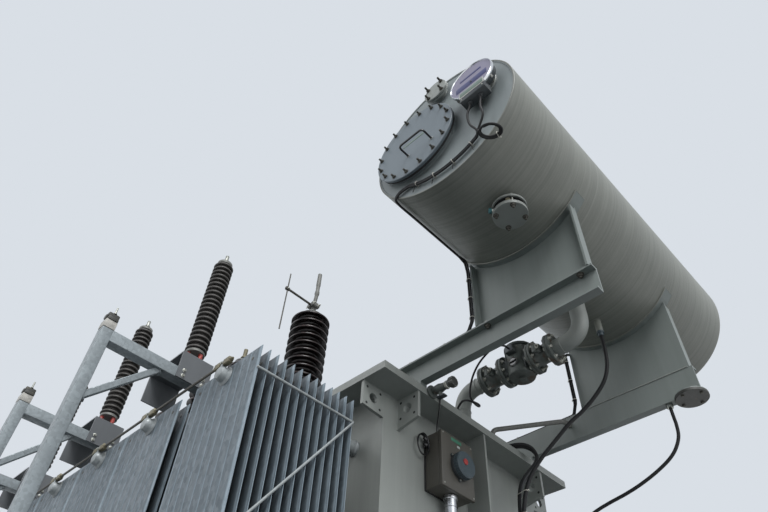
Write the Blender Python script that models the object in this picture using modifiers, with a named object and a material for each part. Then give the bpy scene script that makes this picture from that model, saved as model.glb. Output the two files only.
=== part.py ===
"""Power transformer with a cantilevered conservator, radiator banks and surge arresters.

Metres, +Z up. The origin is on the floor under the middle of the tank. +X looks out of the end
that carries the conservator, and -Y is the long side with the arrester frames.
"""

import math

import bmesh
import bpy
from mathutils import Matrix, Vector

# Seats between pieces of different nodes
GAP = 0.0003

# Skid base
SKID_HEIGHT = 0.25
SKID_RAIL_WIDTH = 0.16
SKID_RAIL_SPACING = 0.90
SKID_CROSS_WIDTH = 0.20
SKID_OVERHANG = 0.10

# Tank and cover
TANK_LENGTH = 3.30
TANK_WIDTH = 1.31
TANK_HEIGHT = 2.60
RIM_OVERHANG = 0.154
RIM_THICKNESS = 0.020
COVER_THICKNESS = 0.022
STIFFENER_DEPTH = 0.147
STIFFENER_THICKNESS = 0.014
STIFFENER_LIFT = 0.12
LUG_THICKNESS = 0.018
LUG_HEIGHT = 0.150
LUG_SLANT = 0.012
LUG_INSET = 0.110
LUG_HOLE_RADIUS = 0.030
LUG_HOLE_STEPS = 8
SIDE_LUG_WIDTH = 0.146
END_LUG_DROP = 0.030
WELD_DEPTH = 0.010
GLAND_RADIUS = 0.018
GLAND_HEIGHT = 0.020

# Sampling valve on the cover's edge
EDGE_VALVE_INSET = 0.198
EDGE_VALVE_NECK = 0.009
EDGE_VALVE_FLANGE = 0.036
EDGE_VALVE_CAP = 0.028
EDGE_VALVE_LENGTH = 0.160

# Radiators
RADIATOR_WIDTH = 0.50
RADIATOR_GAP = 0.005
RADIATOR_OVERHANG = 0.05
END_RADIATOR_GAP = 0.127
PANEL_COUNT = 13
PANEL_PITCH = 0.0457
PANEL_THICKNESS = 0.013
PANEL_HEIGHT = 2.15
PANEL_DROP = 0.202
PANEL_WALL_GAP = 0.248
HEADER_SIZE = 0.070
HEADER_INSET = 0.050
HEADER_END = 0.050
TIE_RADIUS = 0.008
TIE_INSET = 0.002
CLEVIS_SIZE = 0.034
BRACE_SIZE = 0.012
BRACE_DROP = 0.119
BRACE_SLOPE = 1.28

# Conservator
CONSERVATOR_RADIUS = 0.475
CONSERVATOR_LENGTH = 2.302
CONSERVATOR_WALL = 0.008
CONSERVATOR_REACH = 0.857
CONSERVATOR_LIFT = 0.8274
SHELL_STEPS = 48
END_PLATE_THICKNESS = 0.012
MANHOLE_X = -0.162
MANHOLE_Z = -0.024
MANHOLE_RADIUS = 0.272
MANHOLE_THICKNESS = 0.020
MANHOLE_RING_RADIUS = 0.262
MANHOLE_RING_HEIGHT = 0.030
HANDLE_RADIUS = 0.007
HANDLE_WIDTH = 0.165
HANDLE_REACH = 0.076
HANDLE_X = 0.045
HANDLE_Z = -0.103
GAUGE_X = 0.250
GAUGE_Z = 0.132
GAUGE_RADIUS = 0.138
GAUGE_DEPTH = 0.062
GAUGE_BOSS_HEIGHT = 0.030
GAUGE_BOSS_RADIUS = 0.086
GAUGE_BOX_WIDTH = 0.150
GAUGE_BOX_DROP = 0.035
GAUGE_BOX_RISE = 0.097
BLANK_NOZZLE_Z = 0.368
BLANK_NECK_RADIUS = 0.048
BLANK_NECK_HEIGHT = 0.019
BLANK_FLANGE_RADIUS = 0.080
BLANK_FLANGE_THICKNESS = 0.026
SUMP_X = 0.128
SUMP_END_INSET = 0.347
SUMP_NECK_RADIUS = 0.045
SUMP_FLANGE_RADIUS = 0.088
SUMP_FLANGE_THICKNESS = 0.014
SUMP_BODY_RADIUS = 0.060
SUMP_BODY_HEIGHT = 0.034
SUMP_NECK_HEIGHT = 0.026
SUMP_SPINDLE_RADIUS = 0.011
SUMP_SPINDLE_REACH = 0.100
VENT_Y = 0.240
VENT_RADIUS = 0.020
VENT_LENGTH = 0.080

# Conservator beams and saddles
BEAM_HEIGHT = 0.157
BEAM_FLANGE = 0.050
BEAM_WEB = 0.010
BEAM_OUTREACH = 0.344
BEAM_FOOT_LENGTH = 0.10
BEAM_FOOT_INSET = 0.010
BEAM_INREACH = 0.62
END_FLANGE_RADIUS = 0.085
END_FLANGE_THICKNESS = 0.016
END_FLANGE_INSET = 0.066
HOSE_GLAND_INSET = 0.190
SADDLE_SPACING = 0.972
SADDLE_HALF_WIDTH = 0.330
SADDLE_BAR = 0.050
SADDLE_BAR_CLEARANCE = 0.012
SADDLE_ARC_POINTS = 14
SADDLE_PAD_WIDTH = 0.085
SADDLE_PAD_THICKNESS = 0.006
SADDLE_PAD_MARGIN = 0.10
FOOT_HEIGHT = 0.030

# Gas relay pipework
PIPE_RADIUS = 0.047
PIPE_FLANGE_RADIUS = 0.092
PIPE_FLANGE_THICKNESS = 0.016
PIPE_RISE = 0.285
ELBOW_RADIUS = 0.130
LOWER_PIPE_RUN = 0.202
INLET_VALVE_LENGTH = 0.134
RELAY_LENGTH = 0.198
OUTLET_VALVE_LENGTH = 0.121
UPPER_PIPE_RUN = 0.191
SPOOL_WALL = 0.008
RELAY_RADIUS = 0.078
RELAY_DEPTH = 0.085
RELAY_HEAD = 0.115
RELAY_CAP_THICKNESS = 0.016
RELAY_BOX = (0.056, 0.050, 0.046)
RELAY_PLUG_RADIUS = 0.018
RELAY_PLUG_LENGTH = 0.020
VALVE_SPINDLE_RADIUS = 0.014
VALVE_SPINDLE_REACH = 0.125

# Arrester frames
FRAME_END_OFFSET = 0.816
FRAME_SPACING = 0.984
FRAME_COUNT = 3
POST_SIZE = 0.100
POST_CLEARANCE = 0.386
POST_PLATE = 0.220
POST_PLATE_THICKNESS = 0.016
RAIL_SIZE = 0.067
RAIL_COVER_LAP = 0.160
CLAMP_SEAT_SIZE = 0.060
CLAMP_SEAT_HEIGHT = 0.050
STRUT_SIZE = 0.045
STRUT_REACH = 0.33
BRACKET_WIDTH = 0.356
BRACKET_LENGTH = 0.195
BRACKET_HEIGHT = 0.170
BRACKET_WALL = 0.008
BRACKET_INSET = 0.540

# Arresters
ARRESTER_SHEDS = 20
ARRESTER_PITCH = 0.036
ARRESTER_RADIUS = 0.063
ARRESTER_CORE = 0.043
ARRESTER_FOOT = 0.055
ARRESTER_FOOT_RADIUS = 0.014
ARRESTER_FOOT_CIRCLE = 0.040
ARRESTER_BASE_HEIGHT = 0.020
ARRESTER_BASE_RADIUS = 0.056
ARRESTER_STUD_RADIUS = 0.012
ARRESTER_STUD_LENGTH = 0.070
ARRESTER_CAP_HEIGHT = 0.030
ARRESTER_STEPS = 8

# Bushings
BUSHING_INSET = 0.205
NEUTRAL_OFFSET = 1.050
PHASE_END_OFFSET = 0.250
PHASE_SPACING = 0.560
PHASE_COUNT = 3
NEUTRAL_SHEDS = 14
NEUTRAL_PITCH = 0.070
NEUTRAL_RADIUS = 0.147
NEUTRAL_CORE = 0.098
NEUTRAL_STEPS = 14
PHASE_SHEDS = 11
PHASE_PITCH = 0.090
PHASE_RADIUS = 0.115
PHASE_CORE = 0.072
PHASE_STUD_RADIUS = 0.018
PHASE_STUD_LENGTH = 0.120
PHASE_STEPS = 10
BUSHING_FOOT = 0.050
BUSHING_CAP = 0.035
TURRET_HEIGHT = 0.200
TURRET_MARGIN = 0.025

# Neutral terminal and arcing horn
TERMINAL_CAP_RADIUS = 0.055
TERMINAL_CAP_HEIGHT = 0.022
TERMINAL_STEM_RADIUS = 0.019
TERMINAL_LEAN = 0.020
TERMINAL_HEIGHT = 0.440
TERMINAL_CLAMP = (0.075, 0.070, 0.040)
TERMINAL_CLAMP_RISE = 0.075
HORN_REACH = 0.285
HORN_ARM_RADIUS = 0.009
HORN_ROD_RADIUS = 0.005
HORN_ROD_INSET = 0.020
HORN_ROD_DROP = 0.406
HORN_ROD_RISE = 0.166

# End face boxes
METER_BOX = (0.120, 0.255, 0.307)
METER_BOX_Y = -0.217
METER_BOX_DROP = 0.113
DIAL_RADIUS = 0.058
DIAL_HEIGHT = 0.050
DIAL_Y = 0.020
DIAL_DROP = 0.170
CABINET = (0.280, 0.620, 0.900)
CABINET_DROP = 1.050
CABINET_RAIL = 0.040
CABINET_RAIL_INSET = 0.060
CABINET_RAIL_MARGIN = 0.050
CABINET_ROOF = 0.020
CABINET_ROOF_OVERHANG = 0.030
CONDUIT_RADIUS = 0.022
CONDUIT_BEND = 0.100
CONDUIT_STRAIGHT = 0.030
SMALL_CONDUIT_RADIUS = 0.014
SMALL_CONDUIT_START = (0.115, 0.130)
SMALL_CONDUIT_END = (0.430, 0.130)

# Cables and hoses
VENT_HOSE_RADIUS = 0.011
FAR_HOSE_RADIUS = 0.009
LEAD_RADIUS = 0.010
RELAY_LEAD_RADIUS = 0.006
LEAD_ARC_RADIUS = 0.440
LEAD_ARC_START = 33.0
LEAD_ARC_END = -36.0
LEAD_BLOCK_SIZE = 0.036
LEAD_BLOCK_INSET = 0.201
LEAD_COVER_REACH = 0.080
RELAY_GLAND_REACH = 0.085
RELAY_GLAND_SIDE = 0.155
COVER_BOX = (0.060, 0.090, 0.045)
COVER_BOX_END = 0.104
COVER_BOX_Y = 0.290
COVER_LEAD_RADIUS = 0.010
COVER_LEAD_SPACING = 0.030

TANK_TOP = SKID_HEIGHT + TANK_HEIGHT
COVER_LOW = TANK_TOP + RIM_THICKNESS + GAP
COVER_TOP = COVER_LOW + COVER_THICKNESS
END_X = TANK_LENGTH / 2
SIDE_Y = TANK_WIDTH / 2
BEAM_BOTTOM = COVER_TOP + GAP + FOOT_HEIGHT
BEAM_TOP = BEAM_BOTTOM + BEAM_HEIGHT
CONSERVATOR_X = END_X + CONSERVATOR_REACH
CONSERVATOR_Z = BEAM_TOP + CONSERVATOR_LIFT
CONSERVATOR_FACE = CONSERVATOR_LENGTH / 2 + GAP
FACET = 2 * math.pi / SHELL_STEPS
BANK_END = SIDE_Y + PANEL_WALL_GAP + (PANEL_COUNT - 1) * PANEL_PITCH + HEADER_END
POST_Y = -(BANK_END + POST_CLEARANCE)
BRACKET_Y = POST_Y + BRACKET_INSET
BUSHING_Y = -(SIDE_Y - BUSHING_INSET)
NEUTRAL_X = END_X - NEUTRAL_OFFSET
PHASE_XS = [PHASE_END_OFFSET - END_X + k * PHASE_SPACING for k in reversed(range(PHASE_COUNT))]
FRAME_XS = [END_X - FRAME_END_OFFSET - k * FRAME_SPACING for k in range(FRAME_COUNT)]
PIPE_Z = COVER_TOP + PIPE_RISE
GLAND_TOP = COVER_TOP + GLAND_HEIGHT
CABINET_BACK = END_X + STIFFENER_DEPTH + GAP
CABINET_TOP = TANK_TOP - CABINET_DROP
ROOF_TOP = CABINET_TOP + CABINET_ROOF
ROOF_GLAND_TOP = ROOF_TOP + GLAND_HEIGHT
LEAD_END_X = END_X - BEAM_INREACH - LEAD_COVER_REACH
LEAD_Y = SADDLE_SPACING / 2 + BEAM_FLANGE / 2 - BEAM_WEB / 2
RELAY_GLAND = (END_X + RELAY_GLAND_REACH, -RELAY_GLAND_SIDE)
LEAD_BLOCK_Y = CONSERVATOR_LENGTH / 2 - LEAD_BLOCK_INSET
RADIATOR_PITCH = RADIATOR_WIDTH + RADIATOR_GAP
LEAD_RUN_RADIUS = CONSERVATOR_RADIUS + LEAD_RADIUS * 1.5
LEAD_RUN = -math.degrees(math.asin((SADDLE_HALF_WIDTH + LEAD_RADIUS + GAP) / LEAD_RUN_RADIUS))
LEAD_SADDLE_Y = SADDLE_SPACING / 2 + SADDLE_PAD_WIDTH / 2 + LEAD_RADIUS * 3


def clearScene():
    for item in list(bpy.data.objects):
        bpy.data.objects.remove(item, do_unlink=True)


def makeCollection(name):
    group = bpy.data.collections.new(name)
    bpy.context.scene.collection.children.link(group)
    return group


def makeMaterial(name, colour, roughness, metallic=0.0):
    material = bpy.data.materials.new(name)
    material.use_nodes = True
    shader = material.node_tree.nodes["Principled BSDF"]
    shader.inputs["Base Color"].default_value = (*colour, 1.0)
    shader.inputs["Roughness"].default_value = roughness
    shader.inputs["Metallic"].default_value = metallic
    material.diffuse_color = (*colour, 1.0)
    return material


def makeObject(name, mesh, group):
    item = bpy.data.objects.new(name, mesh)
    group.objects.link(item)
    return item


def smoothShade(mesh, angle=35.0):
    mesh.shade_smooth()
    mesh.set_sharp_from_angle(angle=math.radians(angle))


def addBoxes(name, boxes, group):
    """One mesh of boxes, each from one corner to the opposite one."""
    mesh = bpy.data.meshes.new(name)
    shape = bmesh.new()
    for first, second in boxes:
        low = Vector([min(pair) for pair in zip(first, second)])
        high = Vector([max(pair) for pair in zip(first, second)])
        place = Matrix.Translation((low + high) / 2) @ Matrix.Diagonal((*(high - low), 1.0))
        bmesh.ops.create_cube(shape, size=1.0, matrix=place)
    shape.to_mesh(mesh)
    shape.free()
    return makeObject(name, mesh, group)


def addRods(name, rods, sides, group):
    """One mesh of round bars, each from a start to an end with its radius."""
    mesh = bpy.data.meshes.new(name)
    shape = bmesh.new()
    for start, end, radius in rods:
        start, end = Vector(start), Vector(end)
        run = end - start
        turn = run.to_track_quat("Z", "Y").to_matrix().to_4x4()
        place = Matrix.Translation((start + end) / 2) @ turn
        bmesh.ops.create_cone(
            shape, cap_ends=True, cap_tris=False, segments=sides,
            radius1=radius, radius2=radius, depth=run.length, matrix=place,
        )
    shape.to_mesh(mesh)
    shape.free()
    if sides > 6:
        smoothShade(mesh)
    return makeObject(name, mesh, group)


def curveToMesh(item, group):
    """Replaces a curve object by the mesh that it shows, with its caps welded."""
    bpy.context.view_layer.update()
    graph = bpy.context.evaluated_depsgraph_get()
    mesh = bpy.data.meshes.new_from_object(item.evaluated_get(graph))
    shape = bmesh.new()
    shape.from_mesh(mesh)
    bmesh.ops.remove_doubles(shape, verts=shape.verts, dist=0.00002)
    bmesh.ops.recalc_face_normals(shape, faces=shape.faces)
    shape.to_mesh(mesh)
    shape.free()
    name, place = item.name, item.matrix_world.copy()
    bpy.data.objects.remove(item, do_unlink=True)
    result = makeObject(name, mesh, group)
    result.matrix_world = place
    return result


def addPlate(name, outlines, thickness, place, group):
    """A flat outline, with holes as further outlines, thickened about its plane."""
    curve = bpy.data.curves.new(name, "CURVE")
    curve.dimensions = "2D"
    curve.fill_mode = "BOTH"
    curve.extrude = thickness / 2
    for outline in outlines:
        spline = curve.splines.new("POLY")
        spline.points.add(len(outline) - 1)
        for point, (u, v) in zip(spline.points, outline):
            point.co = (u, v, 0.0, 1.0)
        spline.use_cyclic_u = True
    item = makeObject(name, curve, group)
    item.matrix_world = place
    return curveToMesh(item, group)


def addTube(name, route, radius, group):
    """A round tube with closed ends along the route's points."""
    curve = bpy.data.curves.new(name, "CURVE")
    curve.dimensions = "3D"
    curve.bevel_depth = radius
    curve.bevel_resolution = 2
    curve.use_fill_caps = True
    spline = curve.splines.new("POLY")
    spline.points.add(len(route) - 1)
    for point, place in zip(spline.points, route):
        point.co = (*place, 1.0)
    tube = curveToMesh(makeObject(name, curve, group), group)
    smoothShade(tube.data, 50.0)
    return tube


def smoothRoute(points, step):
    """A centripetal Catmull-Rom curve through the points, its first and last spans straight."""
    knots = [Vector(p) for p in points]
    route = [knots[0], knots[1]]
    for i in range(1, len(knots) - 2):
        p0, p1, p2, p3 = knots[i - 1:i + 3]
        t0 = 0.0
        t1 = t0 + (p1 - p0).length ** 0.5
        t2 = t1 + (p2 - p1).length ** 0.5
        t3 = t2 + (p3 - p2).length ** 0.5
        count = max(1, round((p2 - p1).length / step))
        for k in range(1, count + 1):
            t = t1 + (t2 - t1) * k / count
            a1 = p0 * ((t1 - t) / (t1 - t0)) + p1 * ((t - t0) / (t1 - t0))
            a2 = p1 * ((t2 - t) / (t2 - t1)) + p2 * ((t - t1) / (t2 - t1))
            a3 = p2 * ((t3 - t) / (t3 - t2)) + p3 * ((t - t2) / (t3 - t2))
            b1 = a1 * ((t2 - t) / (t2 - t0)) + a2 * ((t - t0) / (t2 - t0))
            b2 = a2 * ((t3 - t) / (t3 - t1)) + a3 * ((t - t1) / (t3 - t1))
            route.append(b1 * ((t2 - t) / (t2 - t1)) + b2 * ((t - t1) / (t2 - t1)))
    route.append(knots[-1])
    return route


def bentRoute(corners, bend, count=4):
    """Straight runs between the corners, each corner rounded by an arc that starts bend before it."""
    knots = [Vector(p) for p in corners]
    route = [knots[0]]
    for before, corner, after in zip(knots, knots[1:], knots[2:]):
        start = corner + (before - corner).normalized() * bend
        end = corner + (after - corner).normalized() * bend
        for k in range(count + 1):
            t = k / count
            route.append(start * (1 - t) ** 2 + corner * (2 * t * (1 - t)) + end * t ** 2)
    route.append(knots[-1])
    return route


def addTurned(name, profile, steps, place, group):
    """A profile of (radius, height), top to bottom, turned about its own Z axis."""
    mesh = bpy.data.meshes.new(name)
    shape = bmesh.new()
    corners = [shape.verts.new((radius, 0.0, height)) for radius, height in profile]
    for first, second in zip(corners, corners[1:]):
        shape.edges.new((first, second))
    shape.to_mesh(mesh)
    shape.free()
    item = makeObject(name, mesh, group)
    item.matrix_world = place
    turn = item.modifiers.new("Turn", "SCREW")
    turn.axis = "Z"
    turn.steps = steps
    turn.render_steps = steps
    turn.use_merge_vertices = True
    turn.merge_threshold = 0.00005
    return item


def joinPieces(base, others, cutters, operation="UNION"):
    """Joins other shapes to the base, or cuts them out of it, and keeps them as guides."""
    for other in others:
        for group in list(other.users_collection):
            group.objects.unlink(other)
        cutters.objects.link(other)
        other.hide_render = True
        other.display_type = "WIRE"
        step = base.modifiers.new(f"{operation.title()} {other.name}", "BOOLEAN")
        step.operation = operation
        step.solver = "EXACT"
        step.object = other
    return base


def dress(item, material):
    item.data.materials.clear()
    item.data.materials.append(material)
    return item


def along(start, direction):
    """A frame at start whose Z axis runs along direction."""
    turn = Vector(direction).to_track_quat("Z", "Y").to_matrix().to_4x4()
    return Matrix.Translation(start) @ turn


def uprightXZ(y):
    """A frame in which an outline's u is X, its v is Z and its plane is at y."""
    return Matrix.Translation((0.0, y, 0.0)) @ Matrix.Rotation(math.pi / 2, 4, "X")


def uprightYZ(x):
    """A frame in which an outline's u is Y, its v is Z and its plane is at x."""
    return Matrix(((0, 0, 1, x), (1, 0, 0, 0), (0, 1, 0, 0), (0, 0, 0, 1)))


def circle(radius, count, u, v):
    turns = (2 * math.pi * (k + 0.5) / count for k in range(count))
    return [(u + radius * math.cos(a), v + radius * math.sin(a)) for a in turns]


def aroundShell(angle, radius, y):
    """A point about the conservator's axis, its angle in degrees from straight down towards +X."""
    a = math.radians(angle)
    return (CONSERVATOR_X + radius * math.sin(a), y, CONSERVATOR_Z - radius * math.cos(a))


def buildSkid(parts, cutters, paint):
    half = END_X + SKID_OVERHANG
    top = SKID_HEIGHT - GAP
    rails = []
    for side in (-1, 1):
        y = side * SKID_RAIL_SPACING / 2
        rails.append(((-half, y - SKID_RAIL_WIDTH / 2, 0.0), (half, y + SKID_RAIL_WIDTH / 2, top)))
    reach = SKID_RAIL_SPACING / 2 + SKID_RAIL_WIDTH / 4
    last = half - SKID_CROSS_WIDTH / 2
    crosses = []
    for x in (-last, 0.0, last):
        crosses.append(((x - SKID_CROSS_WIDTH / 2, -reach, 0.0), (x + SKID_CROSS_WIDTH / 2, reach, top)))
    base = addBoxes("skid_base", rails, parts)
    joinPieces(base, [addBoxes("skid_crosses", crosses, cutters)], cutters)
    dress(base, paint)


def lugPlates():
    """Outlines of the four side lugs and the four end lugs with their eye holes."""
    top = TANK_TOP + RIM_THICKNESS / 2
    low = TANK_TOP - LUG_HEIGHT
    eye = TANK_TOP - LUG_HEIGHT / 2
    plates = []
    for sy in (-1, 1):
        inner = sy * (SIDE_Y - WELD_DEPTH)
        outer = sy * (SIDE_Y + SIDE_LUG_WIDTH)
        outline = [(inner, low), (outer, low + LUG_SLANT), (outer, top), (inner, top)]
        hole = circle(LUG_HOLE_RADIUS, LUG_HOLE_STEPS, sy * (SIDE_Y + SIDE_LUG_WIDTH / 2), eye)
        for sx in (-1, 1):
            plates.append((outline, hole, uprightYZ(sx * (END_X - LUG_THICKNESS / 2))))
    for sx in (-1, 1):
        inner = sx * (END_X - WELD_DEPTH)
        outer = sx * (END_X + SIDE_LUG_WIDTH)
        outline = [(inner, low - END_LUG_DROP), (outer, low), (outer, top), (inner, top)]
        hole = circle(LUG_HOLE_RADIUS, LUG_HOLE_STEPS, sx * (END_X + SIDE_LUG_WIDTH / 2), eye)
        for sy in (-1, 1):
            plates.append((outline, hole, uprightXZ(sy * (SIDE_Y - LUG_INSET))))
    return plates


def buildTank(parts, cutters, paint):
    body = addBoxes("tank", [((-END_X, -SIDE_Y, SKID_HEIGHT), (END_X, SIDE_Y, TANK_TOP))], parts)
    edgeX = END_X + RIM_OVERHANG
    edgeY = SIDE_Y + RIM_OVERHANG
    flange = ((-edgeX, -edgeY, TANK_TOP), (edgeX, edgeY, TANK_TOP + RIM_THICKNESS))
    rim = addBoxes("tank_rim", [flange], cutters)
    half = STIFFENER_THICKNESS / 2
    low = SKID_HEIGHT + STIFFENER_LIFT
    ribs = []
    for side in (-1, 1):
        inner = side * (END_X - WELD_DEPTH)
        outer = side * (END_X + STIFFENER_DEPTH)
        ribs.append(((inner, -half, low), (outer, half, TANK_TOP + RIM_THICKNESS / 2)))
    joined = [rim, addBoxes("tank_ribs", ribs, cutters)]
    for number, (outline, hole, place) in enumerate(lugPlates()):
        joined.append(addPlate(f"tank_lug{number}", [outline, hole], LUG_THICKNESS, place, cutters))
    joinPieces(body, joined, cutters)
    dress(body, paint)


def buildCover(parts, cutters, paint):
    """Flat cover with its bushing turrets, cable glands and the sampling valve on its edge."""
    edgeX = END_X + RIM_OVERHANG
    edgeY = SIDE_Y + RIM_OVERHANG
    cover = addBoxes("tank_cover", [((-edgeX, -edgeY, COVER_LOW), (edgeX, edgeY, COVER_TOP))], parts)
    root = COVER_LOW + COVER_THICKNESS / 2
    turrets = []
    for x, radius in [(NEUTRAL_X, NEUTRAL_CORE)] + [(x, PHASE_CORE) for x in PHASE_XS]:
        end = (x, BUSHING_Y, COVER_TOP + TURRET_HEIGHT)
        turrets.append(((x, BUSHING_Y, root), end, radius + TURRET_MARGIN))
    glands = []
    for x, y in ((LEAD_END_X, -LEAD_Y), (LEAD_END_X, LEAD_Y), RELAY_GLAND):
        glands.append(((x, y, root), (x, y, GLAND_TOP), GLAND_RADIUS))
    valveY = -(SIDE_Y - EDGE_VALVE_INSET)
    capLength = EDGE_VALVE_CAP
    end = edgeX + EDGE_VALVE_LENGTH
    valve = [
        ((edgeX - WELD_DEPTH, valveY, root), (end - WELD_DEPTH, valveY, root), EDGE_VALVE_NECK),
        ((edgeX + GAP, valveY, root), (edgeX + EDGE_VALVE_CAP / 2, valveY, root), EDGE_VALVE_FLANGE),
        ((end - capLength, valveY, root), (end, valveY, root), EDGE_VALVE_CAP),
    ]
    boxLength, boxWidth, boxHeight = COVER_BOX
    boxEnd = edgeX - COVER_BOX_END
    boxLow = (boxEnd - boxLength, COVER_BOX_Y - boxWidth / 2, root)
    leadBox = (boxLow, (boxEnd, COVER_BOX_Y + boxWidth / 2, COVER_TOP + boxHeight))
    pieces = [
        addBoxes("cover_lead_box", [leadBox], cutters),
        addRods("cover_turrets", turrets, 14, cutters),
        addRods("cover_glands", glands, 8, cutters),
        addRods("edge_valve_neck", valve[:1], 8, cutters),
        addRods("edge_valve_discs", valve[1:], 10, cutters),
    ]
    joinPieces(cover, pieces, cutters)
    dress(cover, paint)


def radiatorCentres():
    """X of the radiators' middles, the first one standing apart at the conservator's end."""
    first = END_X + RADIATOR_OVERHANG - RADIATOR_WIDTH / 2
    second = first - RADIATOR_WIDTH - END_RADIATOR_GAP
    more = int((second - RADIATOR_WIDTH / 2 + END_X) / RADIATOR_PITCH)
    return [first] + [second - k * RADIATOR_PITCH for k in range(more + 1)]


def buildRadiator(name, x, side, braced, parts, cutters, zinc):
    """Flat panels threaded on two square headers; an end radiator has bracing bars on its edges."""
    top = TANK_TOP - PANEL_DROP
    bottom = top - PANEL_HEIGHT
    inner = SIDE_Y + PANEL_WALL_GAP
    half = RADIATOR_WIDTH / 2
    panels = []
    for k in range(PANEL_COUNT):
        y = side * (inner + k * PANEL_PITCH)
        near, far = y - PANEL_THICKNESS / 2, y + PANEL_THICKNESS / 2
        panels.append(((x - half, near, bottom), (x + half, far, top)))
    headers = []
    pipe = HEADER_SIZE / 2
    for z in (top - HEADER_INSET, bottom + HEADER_INSET):
        start = (x - pipe, side * (SIDE_Y + GAP), z - pipe)
        headers.append((start, (x + pipe, side * BANK_END, z + pipe)))
    radiator = addBoxes(name, panels, parts)
    pieces = [addBoxes(f"{name}_headers", headers, cutters)]
    if braced:
        edge = x + half
        first = inner - PANEL_THICKNESS / 2
        last = inner + (PANEL_COUNT - 1) * PANEL_PITCH + PANEL_THICKNESS / 2
        high = top - BRACE_DROP
        low = high - (last - first) * BRACE_SLOPE
        size = BRACE_SIZE / 2
        bar = ((edge - size, side * first, high - size), (edge + size, side * last, high + size))
        start = (edge + size / 2, side * first, high)
        diagonal = (start, (edge + size / 2, side * last, low), size)
        pieces.append(addBoxes(f"{name}_bar", [bar], cutters))
        pieces.append(addRods(f"{name}_diagonal", [diagonal], 4, cutters))
    joinPieces(radiator, pieces, cutters)
    dress(radiator, zinc)


def buildTie(name, side, parts, cutters, metal):
    """The rod along a bank's header ends, in a clevis on each header."""
    seat = TANK_TOP - PANEL_DROP - HEADER_INSET + HEADER_SIZE / 2 + GAP
    y = side * (BANK_END - CLEVIS_SIZE / 2 - TIE_INSET)
    z = seat + CLEVIS_SIZE / 2
    half = CLEVIS_SIZE / 2
    centres = radiatorCentres()
    clevises = [((x - half, y - half, seat), (x + half, y + half, seat + CLEVIS_SIZE)) for x in centres]
    tie = addRods(name, [((centres[0], y, z), (centres[-1], y, z), TIE_RADIUS)], 8, parts)
    joinPieces(tie, [addBoxes(f"{name}_clevises", clevises, cutters)], cutters)
    dress(tie, metal)


def buildBank(label, side, parts, cutters, zinc, metal):
    for number, x in enumerate(radiatorCentres(), 1):
        buildRadiator(f"radiator_{label}_{number}", x, side, number == 1, parts, cutters, zinc)
    buildTie(f"radiator_tie_{label}", side, parts, cutters, metal)


def saddleOutline(radius, half, low):
    """A plate from low up to an arc of the given radius about the conservator's axis."""
    reach = math.asin(half / radius)
    arc = []
    for k in range(SADDLE_ARC_POINTS + 1):
        a = -reach + 2 * reach * k / SADDLE_ARC_POINTS
        arc.append((CONSERVATOR_X + radius * math.sin(a), CONSERVATOR_Z - radius * math.cos(a)))
    return [(CONSERVATOR_X + half, low), *reversed(arc), (CONSERVATOR_X - half, low)]


def buildSaddle(name, side, parts, cutters, paint):
    """Web plate with its top cut to the shell, two edge bars and the curved pad under the shell."""
    web = side * SADDLE_SPACING / 2
    low = BEAM_TOP + GAP
    padOuter = CONSERVATOR_RADIUS + GAP + SADDLE_PAD_THICKNESS
    half = SADDLE_HALF_WIDTH
    outline = saddleOutline(padOuter - SADDLE_PAD_THICKNESS / 3, half, low)
    saddle = addPlate(name, [outline], BEAM_WEB, uprightXZ(web), parts)
    drop = math.sqrt(padOuter ** 2 - (half - BEAM_WEB) ** 2)
    top = CONSERVATOR_Z - drop - SADDLE_BAR_CLEARANCE
    bars = []
    for x in (CONSERVATOR_X - half, CONSERVATOR_X + half - BEAM_WEB):
        bars.append(((x, web - side * BEAM_WEB / 4, low), (x + BEAM_WEB, web + side * SADDLE_BAR, top)))
    # The pad's corners stand at the shell's own facet corners, so its flats lie along the shell's
    inner = CONSERVATOR_RADIUS + GAP / math.cos(FACET / 2)
    reach = math.ceil((math.asin(half / inner) + SADDLE_PAD_MARGIN) / FACET)
    pad = []
    for radius, order in ((padOuter, 1), (inner, -1)):
        for a in [k * FACET for k in range(-reach, reach + 1)][::order]:
            pad.append((CONSERVATOR_X + radius * math.sin(a), CONSERVATOR_Z - radius * math.cos(a)))
    padPiece = addPlate(f"{name}_pad", [pad], SADDLE_PAD_WIDTH, uprightXZ(web), cutters)
    joinPieces(saddle, [addBoxes(f"{name}_bars", bars, cutters), padPiece], cutters)
    dress(saddle, paint)


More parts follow.
